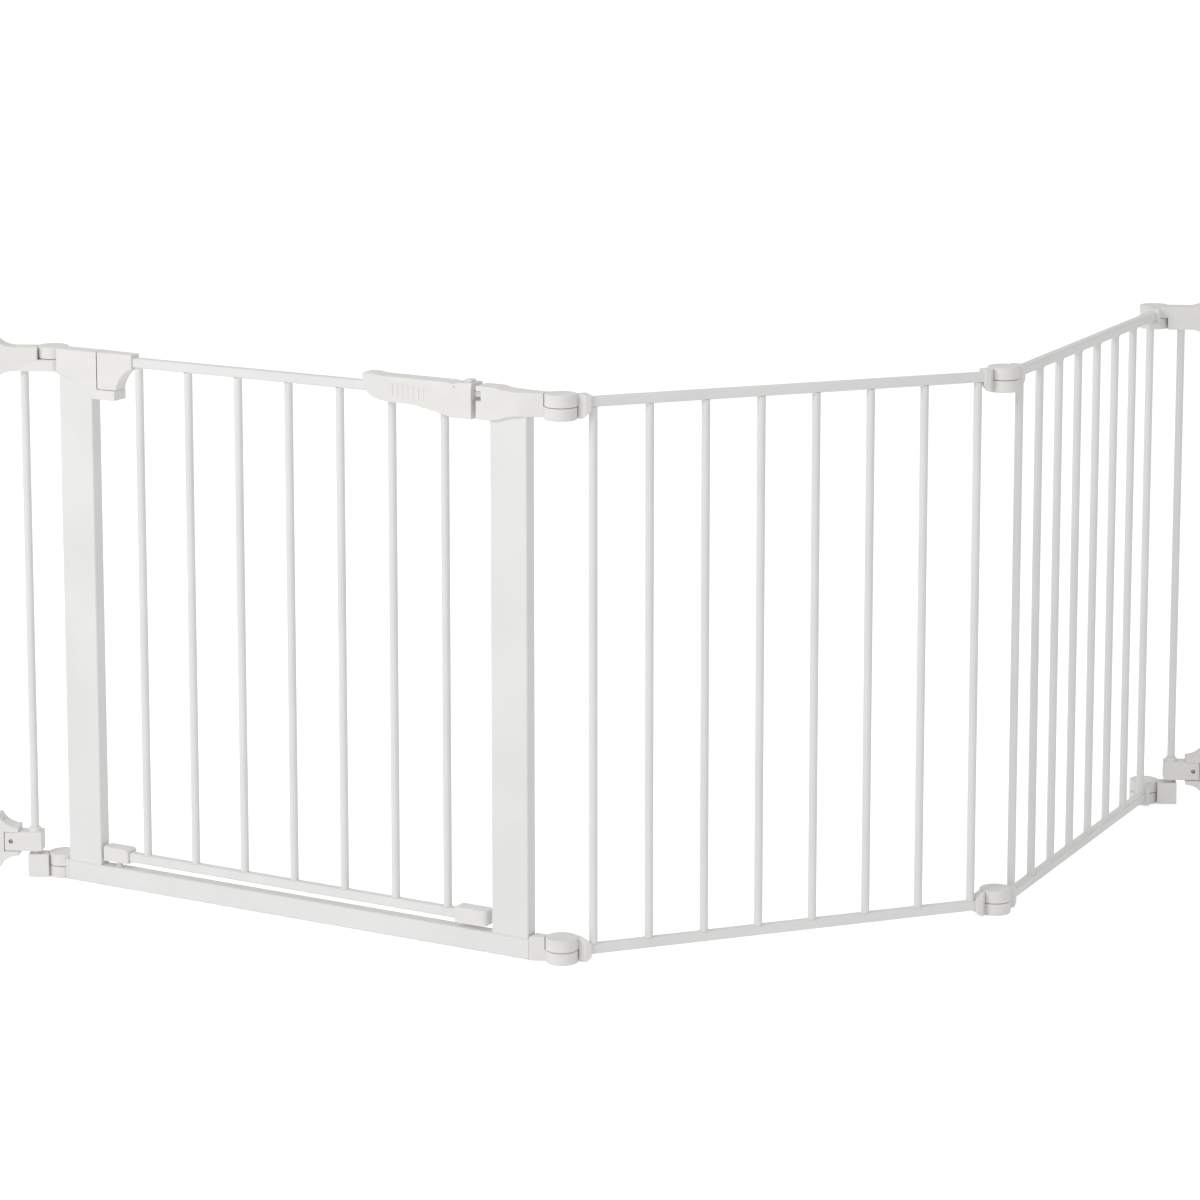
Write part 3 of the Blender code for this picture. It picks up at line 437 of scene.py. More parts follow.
def crossed(plan, elevation):
    """A solid with the plan seen from above and the elevation seen from the front."""
    heights = [z for _, z in elevation]
    depths = [y for _, y in plan]
    body = solid(extruded(plan, min(heights) - 0.001, max(heights) + 0.001))
    across = extruded(elevation, min(depths) - 0.001, max(depths) + 0.001, "Y")
    return worked(body, [("INTERSECT", across)])


def piece(name, body, place, rider, paint, nodes=(), angle=38.0):
    """Puts a finished solid in the row frame and hands it to the frame."""
    body.name = name
    body.data.name = name
    body.data.transform(place)
    body.data.materials.clear()
    body.data.materials.append(paint)
    for polygon in body.data.polygons:
        polygon.material_index = 0
    body.data.shade_smooth()
    body.data.set_sharp_from_angle(angle=math.radians(angle))
    weighted = body.modifiers.new("even shading", "WEIGHTED_NORMAL")
    weighted.keep_sharp = True
    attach(body, rider)
    if nodes:
        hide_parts(*nodes)
    return body


# ---------------------------------------------------------------- steel
def bar(name, place, rider, x, low, high, y=MID, node=None, welds=(True, True)):
    """A round tube with a small weld fillet where it meets a rail."""
    sides = 32
    foot, head = (0.0012 if weld else 0.0 for weld in welds)
    stations = [(low, 1.16)] if welds[0] else [(low, 1.0)]
    if welds[0]:
        stations += [(low + 0.0004, 1.09), (low + foot, 1.0)]
    if welds[1]:
        stations += [(high - head, 1.0), (high - 0.0004, 1.09), (high, 1.16)]
    else:
        stations += [(high, 1.0)]
    outer, inner = circle(BAR_RADIUS, sides), circle(BAR_RADIUS - BAR_WALL, sides)
    body = solid(tube(outer, inner, stations, "Z"))
    body.data.transform(Matrix.Translation((x, y, 0.0)))
    return piece(name, body, place, rider, STEEL, (node,), 50.0)


def rail(name, place, rider, start, end, height, node, y=MID):
    outer = rounded_rectangle(RAIL_HALF, RAIL_HALF, 0.0026)
    inner = rounded_rectangle(RAIL_HALF - RAIL_WALL, RAIL_HALF - RAIL_WALL, 0.0015)
    stations = [(start, 0.97), (start + 0.0003, 1.0), (end - 0.0003, 1.0), (end, 0.97)]
    body = solid(tube(outer, inner, stations, "X"))
    body.data.transform(Matrix.Translation((0.0, y, height)))
    return piece(name, body, place, rider, STEEL, (node,), 50.0)


def post(name, x, top, node):
    outer = rounded_rectangle(POST_HALF_WIDTH, POST_HALF_DEPTH, POST_CORNER)
    inner = rounded_rectangle(POST_HALF_WIDTH - POST_WALL, POST_HALF_DEPTH - POST_WALL, 0.0010)
    low = THRESHOLD_HEIGHT + 0.0005
    stations = [(low, 0.985), (low + 0.0005, 1.0), (top - 0.0003, 1.0), (top, 0.995)]
    body = solid(tube(outer, inner, stations, "Z"))
    body.data.transform(Matrix.Translation((x, MID, 0.0)))
    return piece(name, body, FRAME, "door_frame", STEEL, (node,), 50.0)


def weld_bead(name, x):
    """The weld under a post's foot, a hair inside the post's faces so that the joint shows as a line."""
    outline = rounded_rectangle(POST_HALF_WIDTH - 0.0006, POST_HALF_DEPTH - 0.0008, 0.0018, (x, MID))
    body = solid(extruded(outline, THRESHOLD_HEIGHT - 0.0004, THRESHOLD_HEIGHT + 0.0010))
    return piece(name, body, FRAME, "door_frame", STEEL)


def threshold():
    """The floor bar, coped round hinge 1's discs, with the door's lower pivot pin."""
    half_height = THRESHOLD_HEIGHT / 2.0
    outer = rounded_rectangle(POST_HALF_DEPTH, half_height, THRESHOLD_CORNER)
    inner = rounded_rectangle(POST_HALF_DEPTH - THRESHOLD_WALL, half_height - THRESHOLD_WALL, 0.0012)
    start, end = THRESHOLD_START, FRAME_SPAN - 0.0391
    body = solid(tube(outer, inner, [(start, 1.0), (end - 0.0004, 1.0), (end, 0.985)], "X"))
    body.data.transform(Matrix.Translation((0.0, MID, half_height)))
    worked(body, [("DIFFERENCE", plug(KNUCKLE_RADIUS + RELIEF, -0.01, 0.04, sides=64))])
    piece("threshold_tube", body, FRAME, "door_frame", STEEL, ("threshold_bar",), 45.0)
    low, high = THRESHOLD_HEIGHT - 0.001, DOOR_BOTTOM_RAIL_Z + 0.004
    radius, weld = FLOOR_PIN_RADIUS, 0.0022
    profile = [(0.0, low), (radius + weld, low), (radius + weld, low + 0.0016), (radius, low + weld),
               (radius, high - 0.0008), (radius - 0.0006, high), (0.0, high)]
    piece("door_floor_pin", solid(turned(profile, 32, (PIVOT_X, MID))), FRAME, "door_frame", STEEL)


# ---------------------------------------------------------------- hinge knuckles
def disc(low, upper):
    """Mesh maker: one knuckle disc with rounded rims; the upper one has its pin, the lower its bore."""
    high = low + KNUCKLE_HEIGHT
    seam = low + KNUCKLE_HEIGHT / 2.0
    radius, rim, lip = KNUCKLE_RADIUS, 0.0016, 0.0008
    arc = [math.radians(90.0 * step / 5) for step in range(6)]
    if upper:
        bottom = seam + DISC_GAP / 2.0
        profile = [(0.0, low + 0.0015), (PIN_RADIUS - 0.0008, low + 0.0015), (PIN_RADIUS, low + 0.0023),
                   (PIN_RADIUS, bottom), (radius - lip, bottom)]
        profile += [(radius - lip + lip * math.sin(a), bottom + lip - lip * math.cos(a)) for a in arc[1:]]
        profile += [(radius - rim + rim * math.cos(a), high - rim + rim * math.sin(a)) for a in arc]
        profile += [(0.0, high)]
    else:
        bore = PIN_RADIUS + PIN_CLEARANCE
        top = seam - DISC_GAP / 2.0
        profile = [(bore, low), (radius - rim, low)]
        profile += [(radius - rim + rim * math.sin(a), low + rim - rim * math.cos(a)) for a in arc[1:]]
        profile += [(radius - lip + lip * math.cos(a), top - lip + lip * math.sin(a)) for a in arc]
        profile += [(bore, top)]
    return turned(profile, 72)


def knuckled(body, low, upper):
    """Clears the neighbour's disc out of a bracket at X = 0 and joins the bracket's own disc."""
    seam = low + KNUCKLE_HEIGHT / 2.0
    radius = KNUCKLE_RADIUS + RELIEF
    below, above = low - 0.003, low + KNUCKLE_HEIGHT + 0.003
    span = (below, seam + DISC_GAP / 2.0) if upper else (seam - DISC_GAP / 2.0, above)
    steps = [("DIFFERENCE", plug(radius, *span, sides=72)), ("UNION", disc(low, upper))]
    if not upper:
        steps.append(("DIFFERENCE", plug(PIN_RADIUS + PIN_CLEARANCE, below, above)))
    return worked(body, steps)


def socket(height, start, end, y=MID):
    """Mesh maker: the cutter of a rail's blind socket."""
    half = RAIL_HALF + SNUG
    return extruded(rounded_rectangle(half, half, 0.0026, (y, height)), start, end, "X")


def post_socket(x, low, top):
    """Mesh maker: the cutter of a post's blind socket."""
    outline = rounded_rectangle(POST_HALF_WIDTH + SNUG, POST_HALF_DEPTH + SNUG, POST_CORNER, (x, MID))
    return extruded(outline, low, top)


def pan_screw(name, place, rider, at, radius=0.0030, facing=(0.0, -1.0, 0.0)):
    """A cross-recessed pan-head screw whose head stands on the point at, facing outwards."""
    head = 0.0019
    arc = [math.radians(90.0 * step / 5) for step in range(6)]
    profile = [(0.0, -0.0030), (radius * 0.45, -0.0030), (radius * 0.45, 0.0), (radius, 0.0)]
    profile += [(radius * math.cos(a), head * math.sin(a)) for a in arc[1:-1]] + [(0.0, head)]
    body = solid(turned(profile, 28))
    slot = radius * 0.16
    arm = radius * 0.58
    low, high = head - 0.0010, head + 0.0010
    worked(body, [("DIFFERENCE", box((-arm, -slot, low), (arm, slot, high))),
                  ("DIFFERENCE", box((-slot, -arm, low), (slot, arm, high)))])
    turn = Vector(facing).to_track_quat("Z", "Y").to_matrix().to_4x4()
    body.data.transform(Matrix.Translation(at) @ turn)
    return piece(name, body, place, rider, ZINC)


def panel_knuckle(name, place, rider, x, side, low, rail_height, upper):
    """The moulded bracket that joins a rail's end to a hinge; side is 1 where the panel is to its right."""
    reach, shoulder, wall = 0.0345, 0.0235, 0.0022
    front, back = MID - RAIL_HALF - 0.0040, MID + RAIL_HALF + 0.0030
    neck, edge, end = -0.0090, 0.0265, reach + 0.001
    plan = [(0.004, back), (0.004, neck), (edge - 0.0080, neck), (edge, front), (reach, front), (reach, back)]
    high, base = low + KNUCKLE_HEIGHT - 0.001, low + 0.001
    rail_low, rail_high = rail_height - RAIL_HALF - wall, rail_height + RAIL_HALF + wall
    if rail_height > 0.3:
        elevation = [(0.003, base), (shoulder, base), (end, rail_low), (end, high), (0.003, high)]
    else:
        elevation = [(0.003, base), (shoulder + 0.003, base), (end, rail_low), (end, rail_high)]
        elevation += [(shoulder, high), (0.003, high)]
    body = softened(crossed(flipped(plan, side), flipped(elevation, side)), 0.0009)
    knuckled(body, low, upper)
    ends = sorted((side * RAIL_SOCKET_X, side * (reach + PAST)))
    worked(body, [("DIFFERENCE", socket(rail_height, *ends))])
    place = place @ Matrix.Translation((x, 0.0, 0.0))
    piece(f"{name}_moulding", body, place, rider, PLASTIC, (name,))
    pan_screw(f"{name}_screw", place, rider, (side * 0.0290, back - FIT, rail_height), 0.0027, BACKWARDS)


def panel(name):
    place = PANEL[name]
    start, end = RAIL_SOCKET_X + 0.0002, PANEL_SPAN - RAIL_SOCKET_X - 0.0002
    rail(f"{name}_top_tube", place, name, start, end, TOP_RAIL_Z, f"{name}_top_rail")
    rail(f"{name}_bottom_tube", place, name, start, end, BOTTOM_RAIL_Z, f"{name}_bottom_rail")
    low, high = BOTTOM_RAIL_Z + RAIL_HALF - 0.0001, TOP_RAIL_Z - RAIL_HALF + 0.0001
    for number in range(BARS_PER_PANEL):
        x = PANEL_END_TO_BAR + number * BAR_PITCH
        bar(f"{name}_upright_{number + 1}", place, name, x, low, high, node=f"{name}_bar_{number + 1}")
    for where, side, x, upper in (("left", 1, 0.0, True), ("right", -1, PANEL_SPAN, False)):
        panel_knuckle(f"{name}_{where}_upper_knuckle", place, name, x, side, TOP_KNUCKLE_Z, TOP_RAIL_Z, upper)
        panel_knuckle(f"{name}_{where}_lower_knuckle", place, name, x, side, 0.0, BOTTOM_RAIL_Z, upper)


# ---------------------------------------------------------------- door frame
def gusset(start, end, low, power=1.6, steps=18):
    """Points of a concave gusset: from (start, low + GUSSET_RISE), level, round to (end, low), upright."""
    points = []
    for step in range(steps + 1):
        share = math.sin(math.pi / 2.0 * step / steps)
        height = GUSSET_RISE * (1.0 - share ** power) ** (1.0 / power)
        points.append((start + (end - start) * share, low + height))
    return points


def smoothed(points, rounds=2):
    """Chaikin's corner cutting on an open run of points; the ends stay."""
    for _ in range(rounds):
        cut = [points[0]]
        for (ax, ay), (bx, by) in zip(points, points[1:]):
            cut.append((0.75 * ax + 0.25 * bx, 0.75 * ay + 0.25 * by))
            cut.append((0.25 * ax + 0.75 * bx, 0.25 * ay + 0.75 * by))
        points = cut + [points[-1]]
    return points


def hinge_side_housing():
    """The corner casing on the hinge post: hinge 1's upper disc, a gusset and the door's bearing lip."""
    front, back = MID - HOUSING_HALF_DEPTH, MID + HOUSING_HALF_DEPTH
    lip_end, wall_end = 0.1155, 0.0867
    high = TOP_KNUCKLE_Z + KNUCKLE_HEIGHT - 0.0003
    edge, neck = 0.0197, -0.0080
    plan = [(0.002, back), (0.002, neck), (edge, neck), (edge, front), (lip_end, front), (lip_end, back)]
    elevation = [(0.001, high), (0.001, TOP_KNUCKLE_Z + 0.0005)] + gusset(0.0175, 0.0749, LIP_BOTTOM)
    elevation += [(lip_end + 0.001, LIP_BOTTOM), (lip_end + 0.001, LIP_TOP)]
    elevation += [(wall_end, LIP_TOP), (wall_end, high)]
    body = softened(crossed(plan, elevation), 0.0009)
    clear = UPPER_SWING_RADIUS + RELIEF
    worked(body, [("DIFFERENCE", plug(clear, LIP_TOP, high + 0.01, (PIVOT_X, MID), sides=96))])
    softened(body, 0.0004, 2, 60.0, lambda edge: min(v.co.z for v in edge.verts) < LIP_TOP + 0.0002)
    knuckled(body, TOP_KNUCKLE_Z, True)
    worked(body, [("DIFFERENCE", post_socket(HINGE_POST_X, HINGE_POST_TOP - 0.08, HINGE_POST_TOP))])
    piece("hinge_side_moulding", body, FRAME, "door_frame", PLASTIC, ("hinge_side_housing",))

    low, high, radius = LIP_TOP - 0.001, LIP_PIN_TOP, LIP_PIN_RADIUS
    collar = radius + 0.0028
    profile = [(0.0, low), (collar, low), (collar, low + 0.0013), (radius, low + 0.0016),
               (radius, high - 0.001), (radius - 0.001, high), (0.0, high)]
    piece("door_upper_pin", solid(turned(profile, 32, (PIVOT_X, MID))), FRAME, "door_frame", ZINC)
    for number, (x, z) in enumerate(((0.0360, 0.7215), (0.0665, 0.7010))):
        at = (x, back - FIT, z)
        pan_screw(f"hinge_side_screw_{number + 1}", FRAME, "door_frame", at, 0.0036, BACKWARDS)


def latch_side_housing():
    """The strike casing on the latch post, with the tongue's notch and hinge 2's lower disc."""
    front, back = MID - HANDLE_HALF_DEPTH, MID + HANDLE_HALF_DEPTH
    left, bevel, neck = -0.1125, 0.002, FRONT_NECK_Y
    plan = [(-0.002, back), (left + bevel, back), (left, back - bevel), (left, front + bevel),
            (left + bevel, front), (-0.0505, front), (-0.0165, neck), (-0.002, neck)]
    top = smoothed([(-0.0365, 0.7372), (-0.0560, 0.7375), (-0.0750, 0.7382), (-0.0820, 0.7408),
                    (-0.0960, 0.7408)])
    bottom = smoothed([(-0.0960, 0.698), (-0.0895, 0.698), (-0.080, 0.6995), (-0.070, 0.7030),
                       (-0.060, 0.7055), (-0.050, 0.7065), (-0.040, 0.7065)])
    elevation = [(-0.001, 0.7065), (-0.001, 0.7370)] + top
    elevation += [(left - 0.001, 0.7408), (left - 0.001, 0.698)] + bottom
    body = softened(crossed(plan, elevation), 0.0009)
    knuckled(body, TOP_KNUCKLE_Z, False)
    x = LATCH_POST_X - FRAME_SPAN
    notch = rounded_rectangle(0.0060, 0.0065, 0.0012, (left + 0.0030, 0.7280))
    worked(body, [("DIFFERENCE", post_socket(x, LATCH_POST_TOP - 0.06, LATCH_POST_TOP)),
                  ("DIFFERENCE", extruded(notch, front - PAST, back + PAST, "Y"))])
    place = FRAME @ Matrix.Translation((FRAME_SPAN, 0.0, 0.0))
    piece("latch_side_moulding", body, place, "door_frame", PLASTIC, ("latch_side_housing",))
    for number, offset in enumerate((-0.014, 0.014)):
        at = (x + offset, back - FIT, 0.7180)
        pan_screw(f"latch_side_screw_{number + 1}", place, "door_frame", at, 0.0036, BACKWARDS)


def frame_lower_knuckles():
    """End plugs of the threshold: hinge 1's upper disc and hinge 2's lower disc."""
    half_depth = POST_HALF_DEPTH - THRESHOLD_WALL - FIT
    low, high = THRESHOLD_WALL + FIT, THRESHOLD_HEIGHT - THRESHOLD_WALL - FIT
    body = softened(solid(box((0.002, MID - half_depth, low), (0.050, MID + half_depth, high))), 0.0005, 2)
    rim = rounded_rectangle(POST_HALF_DEPTH, (THRESHOLD_HEIGHT - FIT) / 2.0, THRESHOLD_CORNER,
                            (MID, (THRESHOLD_HEIGHT + FIT) / 2.0))
    join(body, softened(solid(extruded(rim, 0.0160, THRESHOLD_START - 0.0005, "X")), 0.0006))
    knuckled(body, 0.0, True)
    piece("frame_lower_left_moulding", body, FRAME, "door_frame", PLASTIC, ("frame_lower_left_knuckle",))

    front, back = MID - POST_HALF_DEPTH - 0.001, MID + POST_HALF_DEPTH
    shoulder, neck = -0.0385 + FIT, FRONT_NECK_Y
    plan = [(-0.002, back), (shoulder, back), (shoulder, front), (-0.0355, front),
            (-0.0165, neck), (-0.002, neck)]
    body = softened(solid(extruded(plan, 0.001, KNUCKLE_HEIGHT - 0.001)), 0.0009)
    knuckled(body, 0.0, False)
    worked(body, [("UNION", box((-0.060, MID - half_depth, low), (-0.030, MID + half_depth, high)))])
    place = FRAME @ Matrix.Translation((FRAME_SPAN, 0.0, 0.0))
    piece("frame_lower_right_moulding", body, place, "door_frame", PLASTIC, ("frame_lower_right_knuckle",))


def door_frame():
    post("hinge_post_tube", HINGE_POST_X, HINGE_POST_TOP, "hinge_post")
    post("latch_post_tube", LATCH_POST_X, LATCH_POST_TOP, "latch_post")
    weld_bead("hinge_post_weld", HINGE_POST_X)
    weld_bead("latch_post_weld", LATCH_POST_X)
    threshold()
    hinge_side_housing()
    latch_side_housing()
    frame_lower_knuckles()


# ---------------------------------------------------------------- door
def swing_plan(radius, half_depth, end, end_half_depth, steps=16):
    """A plan with a rounded back about the pivot, flat sides, and a flat end."""
    widest = math.asin(half_depth / radius)
    points = []
    for step in range(steps + 1):
        angle = math.pi - widest + 2.0 * widest * step / steps
        points.append((radius * math.cos(angle), radius * math.sin(angle)))
    return points + [(end, -end_half_depth), (end, end_half_depth)]


def door_knuckles():
    """The door's pivots: a gusseted upper knuckle on the bearing lip, and a lower cap over the floor pin."""
    end, gusset_end, radius = 0.0415, 0.0165, UPPER_SWING_RADIUS
    left, low = -radius - 0.001, LIP_TOP + DISC_GAP / 2.0
    plan = swing_plan(radius, 0.0125, end, 0.0095)
    elevation = [(left, low), (gusset_end, low)] + gusset(end, gusset_end, low)[::-1]
    elevation += [(end + 0.001, low + GUSSET_RISE), (end + 0.001, DOOR_TOP), (left, DOOR_TOP)]
    body = softened(crossed(plan, elevation), 0.0009)
    worked(body, [("DIFFERENCE", plug(LIP_PIN_RADIUS + PIN_CLEARANCE, low - PAST, LIP_PIN_TOP + 0.0005)),
                  ("DIFFERENCE", socket(TOP_RAIL_Z, 0.0195, end + PAST, 0.0))])
    piece("door_upper_moulding", body, DOOR, "door", PLASTIC, ("door_upper_knuckle",))

    end, half_depth, radius = 0.0208, 0.0105, LOWER_SWING_RADIUS
    left, low, high = -radius - 0.001, DOOR_BOTTOM_RAIL_Z - 0.0085, DOOR_BOTTOM_RAIL_Z + 0.0115
    elevation = [(left, low), (end + 0.001, low), (end + 0.001, high - 0.002)]
    elevation += [(end - 0.004, high), (left, high)]
    body = softened(crossed(swing_plan(radius, half_depth, end, half_depth), elevation), 0.0011)
    bore = plug(FLOOR_PIN_RADIUS + PIN_CLEARANCE, low - PAST, DOOR_BOTTOM_RAIL_Z + 0.0045)
    worked(body, [("DIFFERENCE", bore),
                  ("DIFFERENCE", socket(DOOR_BOTTOM_RAIL_Z, 0.0072, end + PAST, 0.0))])
    piece("door_lower_moulding", body, DOOR, "door", PLASTIC, ("door_lower_knuckle",))


def door_end_cap():
    """The cap on the free end of the door's bottom rail, square at the rail and round at the end."""
    start, end = 0.5415, 0.5885
    low, high = DOOR_BOTTOM_RAIL_Z - 0.0090, DOOR_BOTTOM_RAIL_Z + 0.0110
    half_depth, corner = 0.0105, 0.0075
    right_side = []
    for step in range(7):
        angle = math.radians(15.0 * step)
        right_side.append((end - corner + corner * math.sin(angle),
                           corner - half_depth - corner * math.cos(angle)))
    plan = [(start, half_depth), (start, -half_depth)]
    plan += right_side + [(x, -y) for x, y in right_side[::-1]]
    elevation = [(start - 0.001, low), (end - 0.001, low), (end + 0.001, low + 0.002)]
    elevation += [(end + 0.001, high - 0.002), (end - 0.001, high), (start - 0.001, high)]
    body = softened(crossed(plan, elevation), 0.0010)
    worked(body, [("DIFFERENCE", socket(DOOR_BOTTOM_RAIL_Z, start - PAST, start + 0.0250, 0.0))])
    piece("door_end_moulding", body, DOOR, "door", PLASTIC, ("door_end_cap",))


def finger_grooves(start, start_height, end, end_height, grooves=4, depth=0.0010, steps=12):
    """A falling line with shallow scallops for the fingers."""
    points = []
    for step in range(grooves * steps + 1):
        share = step / (grooves * steps)
        scallop = depth * abs(math.sin(math.pi * grooves * share)) ** 1.4
        height = start_height + (end_height - start_height) * share
        points.append((start + (end - start) * share, height + scallop))
    return points


def grip_ribs(half, ribs=7, first=0.4545, pitch=0.0078):
    """Boolean steps for the low ribs on both faces of the grip; the middle rib is the tallest."""
    steps = []
    for number in range(ribs):
        half_height = 0.0092 - 0.0006 * abs(number - ribs // 2)
        centre = (first + number * pitch, 0.7262 - number * 0.0005)
        outline = rounded_rectangle(0.0011, half_height, 0.0010, centre)
        for sign in (-1, 1):
            ends = sorted((sign * (half - 0.0010), sign * (half + 0.0006)))
            steps.append(("UNION", extruded(outline, *ends, "Y")))
    return steps


def handle():
    """The grip: a soft lip at its left, ribs on both faces, finger grooves below and room for the slide."""
    half = HANDLE_HALF_DEPTH
    left, right = HANDLE_LEFT, HANDLE_RIGHT + 0.001
    nose = [(left, y) for y in (half - 0.0055, 0.0055 - half)]
    plan = smoothed([(left + 0.0140, half), (left + 0.0050, half - 0.0012), nose[0]], 2)
    plan += smoothed([nose[1], (left + 0.0050, 0.0012 - half), (left + 0.0140, -half)], 2)
    plan += [(HANDLE_RIGHT, -half), (HANDLE_RIGHT, half)]
    lower = smoothed([(left - 0.001, 0.7330), (0.4110, 0.7268), (0.4165, 0.7196), (0.4240, 0.7145),
                      (0.4345, 0.7110), (0.4495, 0.7095), (0.4685, 0.7095), (0.4800, 0.7091)])
    upper = smoothed([(0.5505, 0.7424), (0.5478, 0.7404), (0.5400, 0.7408), (0.5360, 0.7421),
                      (0.4800, 0.7422), (0.4315, 0.7425), (0.4270, 0.7432), (0.4225, 0.7447),
                      (0.4150, 0.7452), (0.4100, 0.7448), (left - 0.001, 0.7430)])
    elevation = lower + finger_grooves(0.4845, 0.7088, 0.5405, 0.6978)
    elevation += [(0.5455, 0.6973), (right, 0.6973), (right, 0.7430)] + upper
    crown, crown_low = 0.0075, 0.7375
    profile = [(half, 0.690), (half, crown_low)]
    for step in range(1, 7):
        angle = math.radians(15.0 * step)
        profile.append((half - crown + crown * math.cos(angle), crown_low + crown * math.sin(angle)))
    profile += [(-y, z) for y, z in profile[::-1]]
    body = crossed(plan, elevation)
    worked(body, [("INTERSECT", extruded(profile, left - PAST, right + PAST, "X"))])
    softened(body, 0.0010, 3, 40.0)
    slot_half_depth = BUTTON_HALF_DEPTH + 0.0006
    button_slot = rounded_rectangle(0.01125, slot_half_depth, 0.0015, (0.55675, 0.0))
    tongue_slot = box((BUTTON_RIGHT, -0.0065, TONGUE_LOW - 0.0006),
                      (right + 0.001, 0.0065, TONGUE_HIGH + 0.0006))
    cuts = [("DIFFERENCE", socket(TOP_RAIL_Z, left - 0.005, DOOR_LAST_BAR + 0.0070, 0.0)),
            ("DIFFERENCE", box((SPRING_LEFT - FIT, -0.0085, 0.7205), (BUTTON_RIGHT + 0.001, 0.0085, 0.7365))),
            ("DIFFERENCE", tongue_slot),
            ("DIFFERENCE", extruded(button_slot, 0.7360, 0.7500)),
            ("DIFFERENCE", plug(0.0013, -half - 0.001, 0.0015 - half, (0.5473, 0.7374), "Y", 20))]
    for x in (DOOR_LAST_BAR - DOOR_BAR_PITCH, DOOR_LAST_BAR):
        cuts.append(("DIFFERENCE", plug(BAR_RADIUS + SNUG, 0.690, 0.722, (x, 0.0), sides=32)))
    worked(body, cuts)
    worked(body, grip_ribs(half))
    piece("door_handle_grip", body, DOOR, "door", PLASTIC, ("door_handle",))


def door():
    """Everything that swings, but the latch."""
    top_low = TOP_RAIL_Z - RAIL_HALF + 0.0001
    bottom_high = DOOR_BOTTOM_RAIL_Z + RAIL_HALF - 0.0001
    rail("door_top_tube", DOOR, "door", 0.0199, DOOR_LAST_BAR + 0.0066, TOP_RAIL_Z, "door_top_rail", 0.0)
    rail("door_bottom_tube", DOOR, "door", 0.0076, 0.5660, DOOR_BOTTOM_RAIL_Z, "door_bottom_rail", 0.0)
    for number in range(DOOR_BARS):
        x = DOOR_FIRST_BAR + number * DOOR_BAR_PITCH
        bar(f"door_upright_{number + 1}", DOOR, "door", x, bottom_high, top_low, 0.0,
            f"door_bar_{number + 1}")
    door_knuckles()
    door_end_cap()
    handle()


def latch():
    """The sliding tongue with its thumb button."""
    left, shoulder, top = SLIDE_LEFT, BUTTON_RIGHT, BUTTON_TOP
    outline = [(left, SLIDE_LOW), (shoulder, SLIDE_LOW), (shoulder, TONGUE_LOW), (TONGUE_END, TONGUE_LOW),
               (TONGUE_END, TONGUE_HIGH), (shoulder, TONGUE_HIGH), (shoulder, top - 0.0015)]
    outline += smoothed([(shoulder - 0.0008, top - 0.0004), (shoulder - 0.0030, top),
                         (BUTTON_LEFT + 0.0030, top - 0.0002), (BUTTON_LEFT + 0.0008, top - 0.0006)])
    outline += [(BUTTON_LEFT, top - 0.0018), (BUTTON_LEFT, SLIDE_HIGH), (left, SLIDE_HIGH)]
    body = softened(solid(extruded(outline, -BUTTON_HALF_DEPTH, BUTTON_HALF_DEPTH, "Y")), 0.0009)
    plate = box((left, -SLIDE_HALF_DEPTH, SLIDE_LOW),
                (shoulder - 0.0005, SLIDE_HALF_DEPTH, SLIDE_HIGH - 0.0005))
    worked(body, [("UNION", plate)])
    piece("latch_slide_moulding", body, DOOR, "latch", PLASTIC, ("latch_slide",))


def spring():
    """The return spring, ground flat at both ends."""
    turns, around, sides = 7, 24, 10
    radius, wire = 0.0036, 0.0005
    count = turns * around
    centre_z = (TONGUE_LOW + TONGUE_HIGH) / 2.0

    def make(edit):
        rings = []
        for step in range(count + 1):
            turn = 2.0 * math.pi * step / around
            along = SPRING_LEFT + wire + (SPRING_RIGHT - SPRING_LEFT - 2.0 * wire) * step / count
            out = Vector((0.0, math.cos(turn), math.sin(turn)))
            centre = Vector((along, 0.0, centre_z)) + out * radius
            ring = []
            for side in range(sides):
                angle = 2.0 * math.pi * side / sides
                offset = out * math.cos(angle) + Vector((1.0, 0.0, 0.0)) * math.sin(angle)
                ring.append(edit.verts.new(centre + wire * offset))
            rings.append(ring)
        edit.faces.new(rings[0])
        edit.faces.new(rings[-1])
        for first, second in zip(rings, rings[1:]):
            for here in range(sides):
                there = (here + 1) % sides
                edit.faces.new((first[here], first[there], second[there], second[here]))
    coil = piece("latch_spring_coil", solid(make), DOOR, "door", WIRE, ("latch_spring",), 60.0)
    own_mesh(coil)


# ---------------------------------------------------------------- wall arms
def flare(start, end, half_height, radius, centre, steps=16):
    """Both edges of a fishtail that opens towards the wall, as an outline in (distance, height)."""
    upper = []
    for step in range(steps + 1):
        x = start + (end - start) * step / steps
        rise = radius - math.sqrt(radius ** 2 - (x - start) ** 2)
        upper.append((x, centre + half_height + rise))
    upper.append((ARM_SPAN + 0.001, upper[-1][1]))
    return upper, [(x, 2.0 * centre - z) for x, z in upper]


def screw_hole(height, side):
    """Mesh maker: a hole along X for a wall screw, through the fishtail's ear."""
    ends = sorted((side * 0.060, side * (ARM_SPAN + PAST)))
    return plug(WALL_SCREW_RADIUS, *ends, (MID, height), "X", 24)


